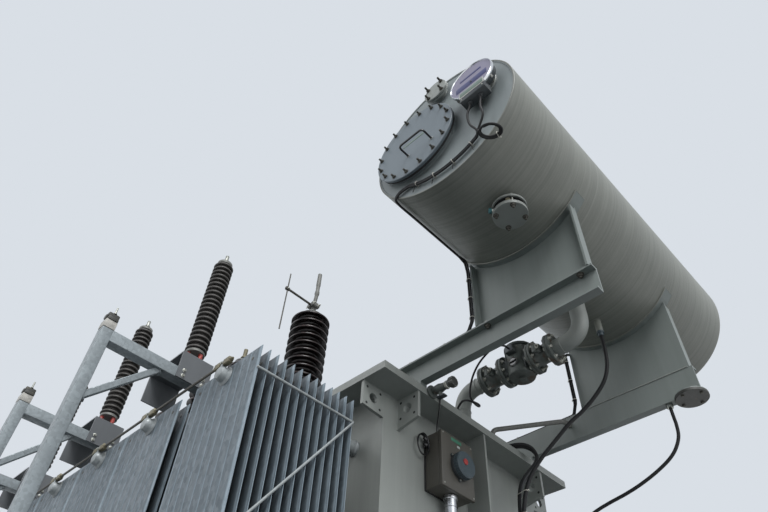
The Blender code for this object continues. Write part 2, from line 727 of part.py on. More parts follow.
def buildBeam(name, side, parts, cutters, paint):
    """A channel on two feet, its web towards the middle and its open side outward."""
    web = side * SADDLE_SPACING / 2
    inner = web - side * BEAM_WEB / 2
    outer = web + side * (BEAM_FLANGE - BEAM_WEB / 2)
    low, high, t = BEAM_BOTTOM, BEAM_TOP, BEAM_WEB
    section = [
        (inner, low), (outer, low), (outer, low + t), (inner + side * t, low + t),
        (inner + side * t, high - t), (outer, high - t), (outer, high), (inner, high),
    ]
    start = END_X - BEAM_INREACH
    end = CONSERVATOR_X + BEAM_OUTREACH
    beam = addPlate(name, [section], end - start, uprightYZ((start + end) / 2), parts)
    feet = []
    for x in (start + BEAM_FOOT_INSET, END_X + RIM_OVERHANG - BEAM_FOOT_LENGTH - BEAM_FOOT_INSET):
        feet.append(((x, inner, COVER_TOP + GAP), (x + BEAM_FOOT_LENGTH, outer, low + t / 2)))
    pieces = [addBoxes(f"{name}_feet", feet, cutters)]
    if side > 0:
        x = end - END_FLANGE_INSET
        y = (inner + outer) / 2
        disc = ((x, y, low - END_FLANGE_THICKNESS), (x, y, low + t / 2), END_FLANGE_RADIUS)
        pieces.append(addRods(f"{name}_end_flange", [disc], 16, cutters))
        x = end - HOSE_GLAND_INSET
        gland = ((x, y, low - GLAND_HEIGHT), (x, y, low + t / 2), GLAND_RADIUS)
        pieces.append(addRods(f"{name}_gland", [gland], 8, cutters))
    joinPieces(beam, pieces, cutters)
    dress(beam, paint)


def shellFrame():
    return along((CONSERVATOR_X, 0.0, CONSERVATOR_Z), (0.0, 1.0, 0.0))


def cutToShell(item, cutters):
    """Cuts the item's top end to the shell's own facets, a seat's gap away from them."""
    radius = CONSERVATOR_RADIUS + GAP / math.cos(FACET / 2)
    half = CONSERVATOR_LENGTH / 2
    profile = [(0.0, half), (radius, half), (radius, -half), (0.0, -half)]
    drum = addTurned(f"{item.name}_shell_cut", profile, SHELL_STEPS, shellFrame(), cutters)
    joinPieces(item, [drum], cutters, "DIFFERENCE")


def buildConservator(parts, cutters, paint):
    """Plain drum with flat ends, its vent nozzle below and the block that holds the far lead."""
    half = CONSERVATOR_LENGTH / 2
    outer, inner = CONSERVATOR_RADIUS, CONSERVATOR_RADIUS - CONSERVATOR_WALL
    profile = [(outer, half), (outer, -half), (inner, -half), (inner, half), (outer, half)]
    shell = addTurned("conservator_shell", profile, SHELL_STEPS, shellFrame(), parts)
    bottom = CONSERVATOR_Z - CONSERVATOR_RADIUS
    vent = ((CONSERVATOR_X, VENT_Y, bottom + CONSERVATOR_WALL / 2),
            (CONSERVATOR_X, VENT_Y, bottom - VENT_LENGTH), VENT_RADIUS)
    depth = CONSERVATOR_WALL / 2
    block = (aroundShell(LEAD_RUN, CONSERVATOR_RADIUS - depth, LEAD_BLOCK_Y),
             aroundShell(LEAD_RUN, CONSERVATOR_RADIUS + LEAD_BLOCK_SIZE, LEAD_BLOCK_Y), LEAD_BLOCK_SIZE / 2)
    pieces = [
        addRods("vent_nozzle", [vent], 10, cutters),
        addRods("lead_block", [block], 8, cutters),
    ]
    joinPieces(shell, pieces, cutters)
    dress(shell, paint)
    for name, side in (("conservator_end_near", -1), ("conservator_end_far", 1)):
        face = (CONSERVATOR_X, side * half, CONSERVATOR_Z)
        back = (CONSERVATOR_X, side * (half - END_PLATE_THICKNESS), CONSERVATOR_Z)
        disc = addRods(name, [(face, back, inner - GAP)], SHELL_STEPS, parts)
        dress(disc, paint)


def buildManhole(parts, cutters, paint):
    """A neck ring on the near end, its bolted cover and the cover's bar handle."""
    face = -CONSERVATOR_FACE
    x = CONSERVATOR_X + MANHOLE_X
    z = CONSERVATOR_Z + MANHOLE_Z
    ringEnd = face - MANHOLE_RING_HEIGHT
    top = ringEnd - MANHOLE_THICKNESS
    seam = MANHOLE_THICKNESS / 10
    cover = addRods("manhole_cover", [((x, face, z), (x, ringEnd, z), MANHOLE_RING_RADIUS)], 28, parts)
    lid = addRods("manhole_lid", [((x, ringEnd + seam, z), (x, top, z), MANHOLE_RADIUS)], 28, cutters)
    gripX, gripZ = x + HANDLE_X, z + HANDLE_Z
    grip = []
    root, reach = top + HANDLE_RADIUS, top - HANDLE_REACH
    for side, y in ((-1, root), (-1, reach), (1, reach), (1, root)):
        grip.append(Vector((gripX + side * HANDLE_WIDTH / 2, y, gripZ)))
    handle = addTube("manhole_handle", grip, HANDLE_RADIUS, cutters)
    joinPieces(cover, [lid, handle], cutters)
    dress(cover, paint)


def buildGauge(parts, cutters, casing):
    """Round level gauge on a short boss, with its terminal box on the lower side."""
    x = CONSERVATOR_X + GAUGE_X
    z = CONSERVATOR_Z + GAUGE_Z
    mid = -CONSERVATOR_FACE - GAUGE_BOSS_HEIGHT
    front = mid - GAUGE_DEPTH
    seam = GAUGE_DEPTH / 10
    gauge = addRods("level_gauge", [((x, mid, z), (x, front, z), GAUGE_RADIUS)], 28, parts)
    boss = ((x, -CONSERVATOR_FACE, z), (x, mid - seam, z), GAUGE_BOSS_RADIUS)
    half = GAUGE_BOX_WIDTH / 2
    low = z - GAUGE_RADIUS - GAUGE_BOX_DROP
    box = ((x - half, front + seam, low), (x + half, mid - seam / 2, z - GAUGE_BOX_RISE))
    pieces = [addRods("gauge_boss", [boss], 16, cutters), addBoxes("gauge_box", [box], cutters)]
    joinPieces(gauge, pieces, cutters)
    dress(gauge, casing)


def buildBlankNozzle(parts, cutters, paint):
    x = CONSERVATOR_X
    z = CONSERVATOR_Z + BLANK_NOZZLE_Z
    face = -CONSERVATOR_FACE
    rim = face - BLANK_NECK_HEIGHT
    seam = BLANK_FLANGE_THICKNESS / 10
    neck = addRods("blank_nozzle", [((x, face, z), (x, rim, z), BLANK_NECK_RADIUS)], 14, parts)
    disc = ((x, rim + seam, z), (x, rim - BLANK_FLANGE_THICKNESS, z), BLANK_FLANGE_RADIUS)
    joinPieces(neck, [addRods("blank_disc", [disc], 14, cutters)], cutters)
    dress(neck, paint)


def buildSump(parts, cutters, cast):
    """Drain under the shell: neck, flange, wafer valve with its spindle, and the blank flange."""
    x = CONSERVATOR_X + SUMP_X
    y = -(CONSERVATOR_LENGTH / 2 - SUMP_END_INSET)
    shell = CONSERVATOR_Z - math.sqrt(CONSERVATOR_RADIUS ** 2 - SUMP_X ** 2)
    flange = shell - SUMP_NECK_HEIGHT
    body = flange - SUMP_FLANGE_THICKNESS
    blank = body - SUMP_BODY_HEIGHT
    seam = SUMP_FLANGE_THICKNESS / 10
    neck = ((x, y, shell + SUMP_NECK_RADIUS), (x, y, flange - seam), SUMP_NECK_RADIUS)
    sump = addRods("sump_valve", [neck], 14, parts)
    discs = [
        ((x, y, flange), (x, y, body), SUMP_FLANGE_RADIUS),
        ((x, y, blank), (x, y, blank - SUMP_FLANGE_THICKNESS * 1.5), SUMP_FLANGE_RADIUS),
    ]
    core = [((x, y, body + seam), (x, y, blank - seam), SUMP_BODY_RADIUS)]
    middle = (body + blank) / 2
    spindle = [((x, y, middle), (x - SUMP_SPINDLE_REACH, y, middle), SUMP_SPINDLE_RADIUS)]
    pieces = [
        addRods("sump_flanges", discs, 14, cutters),
        addRods("sump_body", core, 12, cutters),
        addRods("sump_spindle", spindle, 6, cutters),
    ]
    joinPieces(sump, pieces, cutters)
    cutToShell(sump, cutters)
    dress(sump, cast)


def spool(name, start, end, radius, extras, parts, cutters):
    """A pipe piece along X between two flanges, with extra shapes joined to it."""
    t = PIPE_FLANGE_THICKNESS
    piece = addRods(name, [((start, 0.0, PIPE_Z), (end, 0.0, PIPE_Z), radius)], 14, parts)
    flanges = [
        ((start, 0.0, PIPE_Z), (start + t, 0.0, PIPE_Z), PIPE_FLANGE_RADIUS),
        ((end - t, 0.0, PIPE_Z), (end, 0.0, PIPE_Z), PIPE_FLANGE_RADIUS),
    ]
    joinPieces(piece, [addRods(f"{name}_flanges", flanges, 14, cutters), *extras], cutters)
    return piece


def buildValve(name, start, length, parts, cutters, cast):
    middle = start + length / 2
    stem = ((middle, 0.0, PIPE_Z), (middle, -VALVE_SPINDLE_REACH, PIPE_Z), VALVE_SPINDLE_RADIUS)
    extras = [addRods(f"{name}_spindle", [stem], 8, cutters)]
    dress(spool(name, start, start + length, PIPE_RADIUS + SPOOL_WALL, extras, parts, cutters), cast)


def buildRelay(start, parts, cutters, cast):
    """Relay body on end, its head, the lead's box at the side and the drain plug below."""
    end = start + RELAY_LENGTH
    middle = (start + end) / 2
    head = PIPE_Z + RELAY_HEAD
    foot = PIPE_Z - RELAY_DEPTH
    body = ((middle, 0.0, foot), (middle, 0.0, head), RELAY_RADIUS)
    cap = ((middle, 0.0, head - RELAY_CAP_THICKNESS), (middle, 0.0, head + RELAY_CAP_THICKNESS),
           RELAY_RADIUS + SPOOL_WALL)
    plug = ((middle, 0.0, foot + WELD_DEPTH), (middle, 0.0, foot - RELAY_PLUG_LENGTH), RELAY_PLUG_RADIUS)
    width, depth, height = RELAY_BOX
    side = -RELAY_RADIUS + WELD_DEPTH * 2
    low = head - RELAY_CAP_THICKNESS * 2 - height
    box = ((middle - width / 2, side, low), (middle + width / 2, side - depth, low + height))
    extras = [
        addRods("relay_body", [body], 16, cutters),
        addRods("relay_cap", [cap], 16, cutters),
        addRods("relay_plug", [plug], 8, cutters),
        addBoxes("relay_box", [box], cutters),
    ]
    dress(spool("gas_relay", start, end, PIPE_RADIUS, extras, parts, cutters), cast)


def buildPipework(parts, cutters, paint, cast):
    """Pipe from the cover up to the conservator, with the gas relay between two valves."""
    upStart = CONSERVATOR_X - UPPER_PIPE_RUN
    outletStart = upStart - GAP - OUTLET_VALVE_LENGTH
    relayStart = outletStart - GAP - RELAY_LENGTH
    inletStart = relayStart - GAP - INLET_VALVE_LENGTH
    lowEnd = inletStart - GAP
    footX = lowEnd - LOWER_PIPE_RUN
    foot = COVER_TOP + GAP
    t = PIPE_FLANGE_THICKNESS
    corners = [(footX, 0.0, foot), (footX, 0.0, PIPE_Z), (lowEnd, 0.0, PIPE_Z)]
    lower = addTube("relay_pipe_lower", bentRoute(corners, ELBOW_RADIUS, 5), PIPE_RADIUS, parts)
    flanges = [
        ((footX, 0.0, foot), (footX, 0.0, foot + t), PIPE_FLANGE_RADIUS),
        ((lowEnd - t, 0.0, PIPE_Z), (lowEnd, 0.0, PIPE_Z), PIPE_FLANGE_RADIUS),
    ]
    joinPieces(lower, [addRods("lower_flanges", flanges, 14, cutters)], cutters)
    dress(lower, paint)
    buildValve("inlet_valve", inletStart, INLET_VALVE_LENGTH, parts, cutters, cast)
    buildRelay(relayStart, parts, cutters, cast)
    buildValve("relay_valve", outletStart, OUTLET_VALVE_LENGTH, parts, cutters, cast)
    top = CONSERVATOR_Z - CONSERVATOR_RADIUS + WELD_DEPTH
    corners = [(upStart, 0.0, PIPE_Z), (CONSERVATOR_X, 0.0, PIPE_Z), (CONSERVATOR_X, 0.0, top)]
    upper = addTube("relay_pipe_upper", bentRoute(corners, ELBOW_RADIUS, 5), PIPE_RADIUS, parts)
    upFlange = ((upStart, 0.0, PIPE_Z), (upStart + t, 0.0, PIPE_Z), PIPE_FLANGE_RADIUS)
    joinPieces(upper, [addRods("upper_flange", [upFlange], 14, cutters)], cutters)
    cutToShell(upper, cutters)
    dress(upper, paint)
    return (relayStart + RELAY_LENGTH / 2, -RELAY_RADIUS + WELD_DEPTH * 2 - RELAY_BOX[1])


def buildFrames(parts, cutters, zinc):
    """Post, rail over the cover, corner strut, foot plate and cable clamp seat."""
    low = COVER_TOP + GAP
    high = low + RAIL_SIZE
    railEnd = -SIDE_Y - RIM_OVERHANG + RAIL_COVER_LAP
    half = POST_SIZE / 2
    rail = RAIL_SIZE / 2
    plate = POST_PLATE / 2
    seat = CLAMP_SEAT_SIZE / 2
    edge = RAIL_SIZE / 8
    for number, x in enumerate(FRAME_XS, 1):
        post = ((x - half, POST_Y - half, 0.0), (x + half, POST_Y + half, high))
        frame = addBoxes(f"arrester_frame_{number}", [post], parts)
        boxes = [
            ((x - rail, POST_Y, low), (x + rail, railEnd, high - edge / 4)),
            ((x - plate, POST_Y - plate, 0.0), (x + plate, POST_Y + plate, POST_PLATE_THICKNESS)),
            ((x - seat, POST_Y - seat, high - edge), (x + seat, POST_Y + seat, high + CLAMP_SEAT_HEIGHT)),
        ]
        start = (x, POST_Y + half / 2, low - STRUT_REACH + edge)
        end = (x, POST_Y + half / 2 + STRUT_REACH, low + edge)
        strut = addRods(f"frame{number}_strut", [(start, end, STRUT_SIZE / 2)], 4, cutters)
        joinPieces(frame, [addBoxes(f"frame{number}_rail", boxes, cutters), strut], cutters)
        dress(frame, zinc)


def buildBrackets(parts, paint):
    """Upturned channel on the rail, its near wall against the rail's side."""
    low = COVER_TOP + GAP
    top = low + BRACKET_HEIGHT
    t = BRACKET_WALL
    for number, frameX in enumerate(FRAME_XS, 1):
        right = frameX + RAIL_SIZE / 2 + GAP + t
        left = right - BRACKET_WIDTH
        section = [
            (left, low), (left + t, low), (left + t, top - t), (right - t, top - t),
            (right - t, low), (right, low), (right, top), (left, top),
        ]
        bracket = addPlate(f"arrester_bracket_{number}", [section], BRACKET_LENGTH, uprightXZ(BRACKET_Y),
                           parts)
        dress(bracket, paint)


def shedProfile(count, pitch, radius, core, low):
    """Outline of a shed column from its top down: a rim and a root for each shed."""
    profile = []
    for k in range(count):
        top = low + (count - k) * pitch
        profile.append((core, top))
        profile.append((radius, top - pitch * 0.7))
    profile.append((core, low))
    return profile


def buildArresters(parts, cutters, polymer):
    seat = COVER_TOP + GAP + BRACKET_HEIGHT + GAP
    low = ARRESTER_FOOT + ARRESTER_BASE_HEIGHT
    high = low + ARRESTER_SHEDS * ARRESTER_PITCH
    cap = high + ARRESTER_CAP_HEIGHT
    tip = cap + ARRESTER_STUD_LENGTH
    stud, core, base = ARRESTER_STUD_RADIUS, ARRESTER_CORE, ARRESTER_BASE_RADIUS
    profile = [(0.0, tip), (stud, tip), (stud, cap), (core * 0.9, cap - ARRESTER_CAP_HEIGHT / 3)]
    profile += shedProfile(ARRESTER_SHEDS, ARRESTER_PITCH, ARRESTER_RADIUS, core, low)
    profile += [(base, low - GAP), (base, ARRESTER_FOOT), (0.0, ARRESTER_FOOT)]
    for number, frameX in enumerate(FRAME_XS, 1):
        x = frameX - RAIL_SIZE / 2
        place = Matrix.Translation((x, BRACKET_Y, seat))
        arrester = addTurned(f"arrester_{number}", profile, ARRESTER_STEPS, place, parts)
        feet = []
        for turn in (30, 150, 270):
            fx = x + ARRESTER_FOOT_CIRCLE * math.cos(math.radians(turn))
            fy = BRACKET_Y + ARRESTER_FOOT_CIRCLE * math.sin(math.radians(turn))
            feet.append(((fx, fy, seat), (fx, fy, seat + ARRESTER_FOOT + WELD_DEPTH), ARRESTER_FOOT_RADIUS))
        joinPieces(arrester, [addRods(f"arrester{number}_feet", feet, 6, cutters)], cutters)
        dress(arrester, polymer)


def buildBushing(name, x, column, steps, stud, parts, glaze):
    """Shed column on its foot ring, closed by a cap and, on a phase bushing, by a stud."""
    sheds, pitch, radius, core = column
    seat = COVER_TOP + TURRET_HEIGHT + GAP
    high = BUSHING_FOOT + sheds * pitch
    top = high + BUSHING_CAP
    foot = core + TURRET_MARGIN
    profile = [(core * 0.45, top), (core * 0.8, high + BUSHING_CAP / 3)]
    if stud:
        studTop = top + PHASE_STUD_LENGTH
        profile = [(0.0, studTop), (PHASE_STUD_RADIUS, studTop), (PHASE_STUD_RADIUS, top)] + profile
    else:
        profile = [(0.0, top)] + profile
    profile += shedProfile(sheds, pitch, radius, core, BUSHING_FOOT)
    profile += [(foot, BUSHING_FOOT - GAP), (foot, 0.0), (0.0, 0.0)]
    bushing = addTurned(name, profile, steps, Matrix.Translation((x, BUSHING_Y, seat)), parts)
    dress(bushing, glaze)


def buildBushings(parts, glaze):
    neutral = (NEUTRAL_SHEDS, NEUTRAL_PITCH, NEUTRAL_RADIUS, NEUTRAL_CORE)
    buildBushing("neutral_bushing", NEUTRAL_X, neutral, NEUTRAL_STEPS, False, parts, glaze)
    phase = (PHASE_SHEDS, PHASE_PITCH, PHASE_RADIUS, PHASE_CORE)
    for number, x in enumerate(PHASE_XS, 1):
        buildBushing(f"phase_bushing_{number}", x, phase, PHASE_STEPS, True, parts, glaze)


def buildNeutralTerminal(parts, cutters, metal):
    """Cap, leaning connector, clamp, and the arcing horn's arm with its upright rod."""
    x, y = NEUTRAL_X, BUSHING_Y
    column = BUSHING_FOOT + NEUTRAL_SHEDS * NEUTRAL_PITCH + BUSHING_CAP
    seat = COVER_TOP + TURRET_HEIGHT + GAP + column + GAP
    cap = seat + TERMINAL_CAP_HEIGHT
    bend = seat + TERMINAL_HEIGHT / 2
    route = [
        Vector((x, y, cap - WELD_DEPTH)), Vector((x, y, cap + TERMINAL_CLAMP_RISE)),
        Vector((x + TERMINAL_LEAN, y, bend)), Vector((x + TERMINAL_LEAN, y, seat + TERMINAL_HEIGHT)),
    ]
    terminal = addRods("neutral_terminal", [((x, y, seat), (x, y, cap), TERMINAL_CAP_RADIUS)], 12, parts)
    stem = addTube("terminal_stem", route, TERMINAL_STEM_RADIUS, cutters)
    width, depth, height = TERMINAL_CLAMP
    middle = cap + TERMINAL_CLAMP_RISE
    clampLow = (x - width / 2, y - depth / 2, middle - height / 2)
    clamp = (clampLow, (x + width / 2, y + depth / 2, middle + height / 2))
    tip = y - HORN_REACH
    arm = ((x, y - depth / 2 + WELD_DEPTH, middle), (x, tip, middle), HORN_ARM_RADIUS)
    rodY = tip + HORN_ROD_INSET
    rod = ((x, rodY, middle - HORN_ROD_DROP), (x, rodY, middle + HORN_ROD_RISE), HORN_ROD_RADIUS)
    pieces = [
        stem, addBoxes("terminal_clamp", [clamp], cutters),
        addRods("horn_arm", [arm], 8, cutters), addRods("horn_rod", [rod], 6, cutters),
    ]
    joinPieces(terminal, pieces, cutters)
    dress(terminal, metal)


def buildThermometer(parts, cutters, paint):
    face = END_X + GAP
    depth, width, height = METER_BOX
    top = TANK_TOP - METER_BOX_DROP
    low = (face, METER_BOX_Y - width / 2, top - height)
    box = addBoxes("thermometer_box", [(low, (face + depth, METER_BOX_Y + width / 2, top))], parts)
    y, z = METER_BOX_Y + DIAL_Y, top - DIAL_DROP
    dial = ((face + depth - WELD_DEPTH, y, z), (face + depth + DIAL_HEIGHT, y, z), DIAL_RADIUS)
    joinPieces(box, [addRods("thermometer_dial", [dial], 18, cutters)], cutters)
    dress(box, paint)


def buildCabinet(parts, cutters, paint):
    """Closed cabinet on two rails off the end wall, with cable glands on its roof."""
    depth, width, height = CABINET
    back, front = CABINET_BACK, CABINET_BACK + depth
    low, half = CABINET_TOP - height, width / 2
    cabinet = addBoxes("control_cabinet", [((back, -half, low), (front, half, CABINET_TOP))], parts)
    hang = CABINET_ROOF_OVERHANG
    roof = ((back, -half - hang, CABINET_TOP - WELD_DEPTH), (front + hang, half + hang, ROOF_TOP))
    rails = []
    for side in (-1, 1):
        y = side * (half - CABINET_RAIL_INSET)
        rails.append(((END_X + GAP, y - CABINET_RAIL / 2, low + CABINET_RAIL_MARGIN),
                      (back + WELD_DEPTH, y + CABINET_RAIL / 2, CABINET_TOP - CABINET_RAIL_MARGIN)))
    glands = []
    for x, y in roofGlands():
        glands.append(((x, y, ROOF_TOP - WELD_DEPTH), (x, y, ROOF_GLAND_TOP), GLAND_RADIUS))
    pieces = [
        addBoxes("cabinet_roof", [roof], cutters), addBoxes("cabinet_rails", rails, cutters),
        addRods("cabinet_glands", glands, 8, cutters),
    ]
    joinPieces(cabinet, pieces, cutters)
    dress(cabinet, paint)


def roofGlands():
    """Places on the cabinet's roof where the vent hose, the far hose and the two cover leads go in."""
    depth, width, _ = CABINET
    x = CABINET_BACK + depth / 3
    y = width / 6
    spacing = GLAND_RADIUS * 2.8
    return [(x, y), (x + depth / 5, width / 2.6), (x, y + spacing), (x, y + 2 * spacing)]


def buildConduits(parts, metal):
    """Conduit from the thermometer box to the cabinet's roof, and the thin one to the far beam."""
    y = METER_BOX_Y
    x = END_X + GAP + METER_BOX[0] / 2
    endX = CABINET_BACK + CABINET[0] / 3
    high = TANK_TOP - METER_BOX_DROP - METER_BOX[2] - GAP
    low = ROOF_TOP + GAP
    lowBend = low + CONDUIT_STRAIGHT + CONDUIT_BEND
    corners = [(x, y, high), (x, y, lowBend + endX - x), (endX, y, lowBend), (endX, y, low)]
    dress(addTube("conduit", bentRoute(corners, CONDUIT_BEND / 2), CONDUIT_RADIUS, parts), metal)
    startX, startY = END_X + SMALL_CONDUIT_START[0], SMALL_CONDUIT_START[1]
    beamX, beamZ = END_X + SMALL_CONDUIT_END[0], COVER_TOP + SMALL_CONDUIT_END[1]
    web = SADDLE_SPACING / 2 - BEAM_WEB / 2 - GAP
    bend = CONDUIT_STRAIGHT * 2
    corners = [
        (startX, startY, COVER_TOP + GAP), (startX, startY, COVER_TOP + bend),
        (beamX, web - bend, beamZ), (beamX, web, beamZ),
    ]
    dress(addTube("beam_conduit", bentRoute(corners, CONDUIT_STRAIGHT), SMALL_CONDUIT_RADIUS, parts), metal)


def leadDown(side, start):
    """The rest of a held lead's corners: down the saddle's edge, along the beam and to the cover."""
    edgeX = CONSERVATOR_X - SADDLE_HALF_WIDTH - LEAD_RADIUS - GAP
    y = side * LEAD_Y
    z = BEAM_TOP + LEAD_RADIUS + GAP
    drop = CONSERVATOR_RADIUS * 0.9
    end = (LEAD_END_X, y, GLAND_TOP + GAP)
    return [*start, (edgeX, y, CONSERVATOR_Z - drop), (edgeX, y, z), (LEAD_END_X, y, z), end]


def buildGaugeLead(parts, rubber):
    """From the gauge's box round the end plate's edge, along the shell, saddle and beam."""
    y = -CONSERVATOR_FACE - LEAD_RADIUS - GAP
    boxX = CONSERVATOR_X + GAUGE_X - GAUGE_BOX_WIDTH / 4
    boxY = -CONSERVATOR_FACE - GAUGE_BOSS_HEIGHT - GAUGE_DEPTH / 2
    boxZ = CONSERVATOR_Z + GAUGE_Z - GAUGE_RADIUS - GAUGE_BOX_DROP - GAP
    route = [Vector((boxX, boxY, boxZ)), Vector((boxX, boxY, boxZ - LEAD_RADIUS * 4))]
    count = 9
    for k in range(count + 1):
        angle = LEAD_ARC_START + (LEAD_ARC_END - LEAD_ARC_START) * k / count
        route.append(Vector(aroundShell(angle, LEAD_ARC_RADIUS, y)))
    start = [
        aroundShell(LEAD_RUN + 1.0, LEAD_ARC_RADIUS + LEAD_RADIUS, y),
        aroundShell(LEAD_RUN, LEAD_RUN_RADIUS, y - LEAD_RADIUS / 2),
        aroundShell(LEAD_RUN, LEAD_RUN_RADIUS, -LEAD_SADDLE_Y),
    ]
    held = bentRoute(leadDown(-1, start), LEAD_RADIUS * 2, 3)
    dress(addTube("gauge_lead", route + held, LEAD_RADIUS, parts), rubber)


def buildFarLead(parts, rubber):
    """From the block on the shell along the far saddle and beam."""
    startY = LEAD_BLOCK_Y - LEAD_BLOCK_SIZE / 2 - GAP
    start = [
        aroundShell(LEAD_RUN, LEAD_RUN_RADIUS, startY),
        aroundShell(LEAD_RUN, LEAD_RUN_RADIUS, LEAD_SADDLE_Y),
    ]
    held = bentRoute(leadDown(1, start), LEAD_RADIUS * 2, 3)
    dress(addTube("far_lead", held, LEAD_RADIUS, parts), rubber)


def buildHoses(relayBox, parts, rubber):
    """The free hoses and the relay's lead, each along a smooth curve through its own points."""
    (ventX, ventY), (farX, farY), *coverEnds = roofGlands()
    nozzle = CONSERVATOR_Z - CONSERVATOR_RADIUS - VENT_LENGTH - GAP
    vent = [
        (CONSERVATOR_X, VENT_Y, nozzle), (CONSERVATOR_X, VENT_Y, nozzle - 0.10),
        (2.493, 0.240, 3.120), (2.456, 0.240, 3.037), (2.380, 0.240, 2.965), (2.289, 0.235, 2.905),
        (2.215, 0.218, 2.858), (2.115, 0.203, 2.780), (2.023, 0.185, 2.700), (1.958, 0.168, 2.620),
        (1.926, 0.150, 2.540), (1.908, 0.134, 2.440), (1.895, 0.112, 2.250),
         (ventX, ventY, 2.080), (ventX, ventY, ROOF_GLAND_TOP + 0.06), (ventX, ventY, ROOF_GLAND_TOP + GAP),
    ]
    step = VENT_HOSE_RADIUS * 6
    dress(addTube("vent_hose", smoothRoute(vent, step), VENT_HOSE_RADIUS, parts), rubber)
    glandX = CONSERVATOR_X + BEAM_OUTREACH - HOSE_GLAND_INSET
    glandZ = BEAM_BOTTOM - GLAND_HEIGHT - GAP
    far = [
        (glandX, LEAD_Y, glandZ), (glandX, LEAD_Y, glandZ - 0.06), (2.653, 0.506, 2.740),
        (2.591, 0.503, 2.650), (2.387, 0.500, 2.556), (2.121, 0.490, 2.492), (1.985, 0.420, 2.380),
        (farX, 0.300, 2.180), (farX, farY, ROOF_GLAND_TOP + 0.09), (farX, farY, ROOF_GLAND_TOP + GAP),
    ]
    step = FAR_HOSE_RADIUS * 6
    dress(addTube("far_hose", smoothRoute(far, step), FAR_HOSE_RADIUS, parts), rubber)
    for number, (shift, (endX, endY)) in enumerate(zip((0.0, COVER_LEAD_SPACING), coverEnds), 1):
        exitX = END_X + RIM_OVERHANG - COVER_BOX_END + GAP
        exitY = COVER_BOX_Y - COVER_LEAD_SPACING / 2 + shift
        exitZ = COVER_TOP + COVER_BOX[2] / 2
        inward, back = shift * 0.4, shift * 0.7
        cover = [
            (exitX, exitY, exitZ), (exitX + 0.035, exitY, exitZ), (1.800, exitY + 0.012, 2.914),
            (1.850 - inward, 0.318 + shift, 2.911), (1.884 - inward, 0.352 + shift, 2.888),
            (1.896 - inward, 0.370 + shift, 2.850), (1.894 - inward, 0.350 + shift, 2.803),
            (1.889 - back / 2, 0.305 + shift, 2.748), (1.884 - back, 0.240 + shift, 2.677),
            (1.879 - back, 0.187 + shift, 2.608), (1.875 - back, 0.163 + shift, 2.540),
            (1.872 - back, 0.151 + shift, 2.440), (1.878 - back / 2, 0.150 + shift, 2.200),
            (endX, endY, 1.960), (endX, endY, ROOF_GLAND_TOP + 0.050), (endX, endY, ROOF_GLAND_TOP + GAP),
        ]
        route = smoothRoute(cover, COVER_LEAD_RADIUS * 6)
        dress(addTube(f"cover_lead_{number}", route, COVER_LEAD_RADIUS, parts), rubber)
    boxX, boxY = relayBox
    boxZ = PIPE_Z + RELAY_HEAD - RELAY_CAP_THICKNESS * 2 - RELAY_BOX[2] / 2
    glandX, glandY = RELAY_GLAND
    lead = [
        (boxX, boxY - GAP, boxZ), (boxX, boxY - 0.020, boxZ), (1.990, -0.152, 3.232), (1.900, -0.150, 3.195),
        (1.825, -0.148, 3.110), (1.806, -0.146, 3.010), (1.838, -0.146, 2.950), (1.875, -0.150, 2.925),
        (1.855, -0.156, 2.935), (1.800, -0.156, 2.965), (glandX + 0.012, glandY, 2.968),
        (glandX, glandY, GLAND_TOP + 0.018), (glandX, glandY, GLAND_TOP + GAP),
    ]
    step = RELAY_LEAD_RADIUS * 5
    dress(addTube("relay_lead", smoothRoute(lead, step), RELAY_LEAD_RADIUS, parts), rubber)


def build():
    clearScene()
    parts = makeCollection("power_transformer")
    cutters = makeCollection("cutters")
    paint = makeMaterial("grey_green_paint", (0.36, 0.38, 0.36), 0.45)
    darkPaint = makeMaterial("box_paint", (0.20, 0.20, 0.18), 0.5)
    zinc = makeMaterial("galvanised_steel", (0.42, 0.46, 0.50), 0.42, 0.8)
    cast = makeMaterial("cast_fittings", (0.10, 0.12, 0.11), 0.55)
    polymer = makeMaterial("arrester_polymer", (0.09, 0.08, 0.075), 0.55)
    glaze = makeMaterial("brown_glaze", (0.035, 0.015, 0.010), 0.12)
    casing = makeMaterial("gauge_casing", (0.16, 0.17, 0.19), 0.4)
    metal = makeMaterial("bare_aluminium", (0.62, 0.62, 0.62), 0.3, 1.0)
    rubber = makeMaterial("cable_rubber", (0.02, 0.02, 0.022), 0.6)
    buildSkid(parts, cutters, paint)
    buildTank(parts, cutters, paint)
    buildCover(parts, cutters, paint)
    buildBank("left", -1, parts, cutters, zinc, metal)
    buildBank("right", 1, parts, cutters, zinc, metal)
    buildSaddle("saddle_near", -1, parts, cutters, paint)
    buildSaddle("saddle_far", 1, parts, cutters, paint)
    buildBeam("beam_near", -1, parts, cutters, paint)
    buildBeam("beam_far", 1, parts, cutters, paint)
    buildConservator(parts, cutters, paint)
    buildManhole(parts, cutters, paint)
    buildGauge(parts, cutters, casing)
    buildBlankNozzle(parts, cutters, paint)
    buildSump(parts, cutters, cast)
    relayBox = buildPipework(parts, cutters, paint, cast)
    buildFrames(parts, cutters, zinc)
    buildBrackets(parts, paint)
    buildArresters(parts, cutters, polymer)
    buildBushings(parts, glaze)
    buildNeutralTerminal(parts, cutters, metal)
    buildThermometer(parts, cutters, darkPaint)
    buildCabinet(parts, cutters, paint)
    buildConduits(parts, metal)
    buildGaugeLead(parts, rubber)
    buildFarLead(parts, rubber)
    buildHoses(relayBox, parts, rubber)


build()
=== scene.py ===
import math
import bpy
import numpy as np
from mathutils import Matrix, Vector


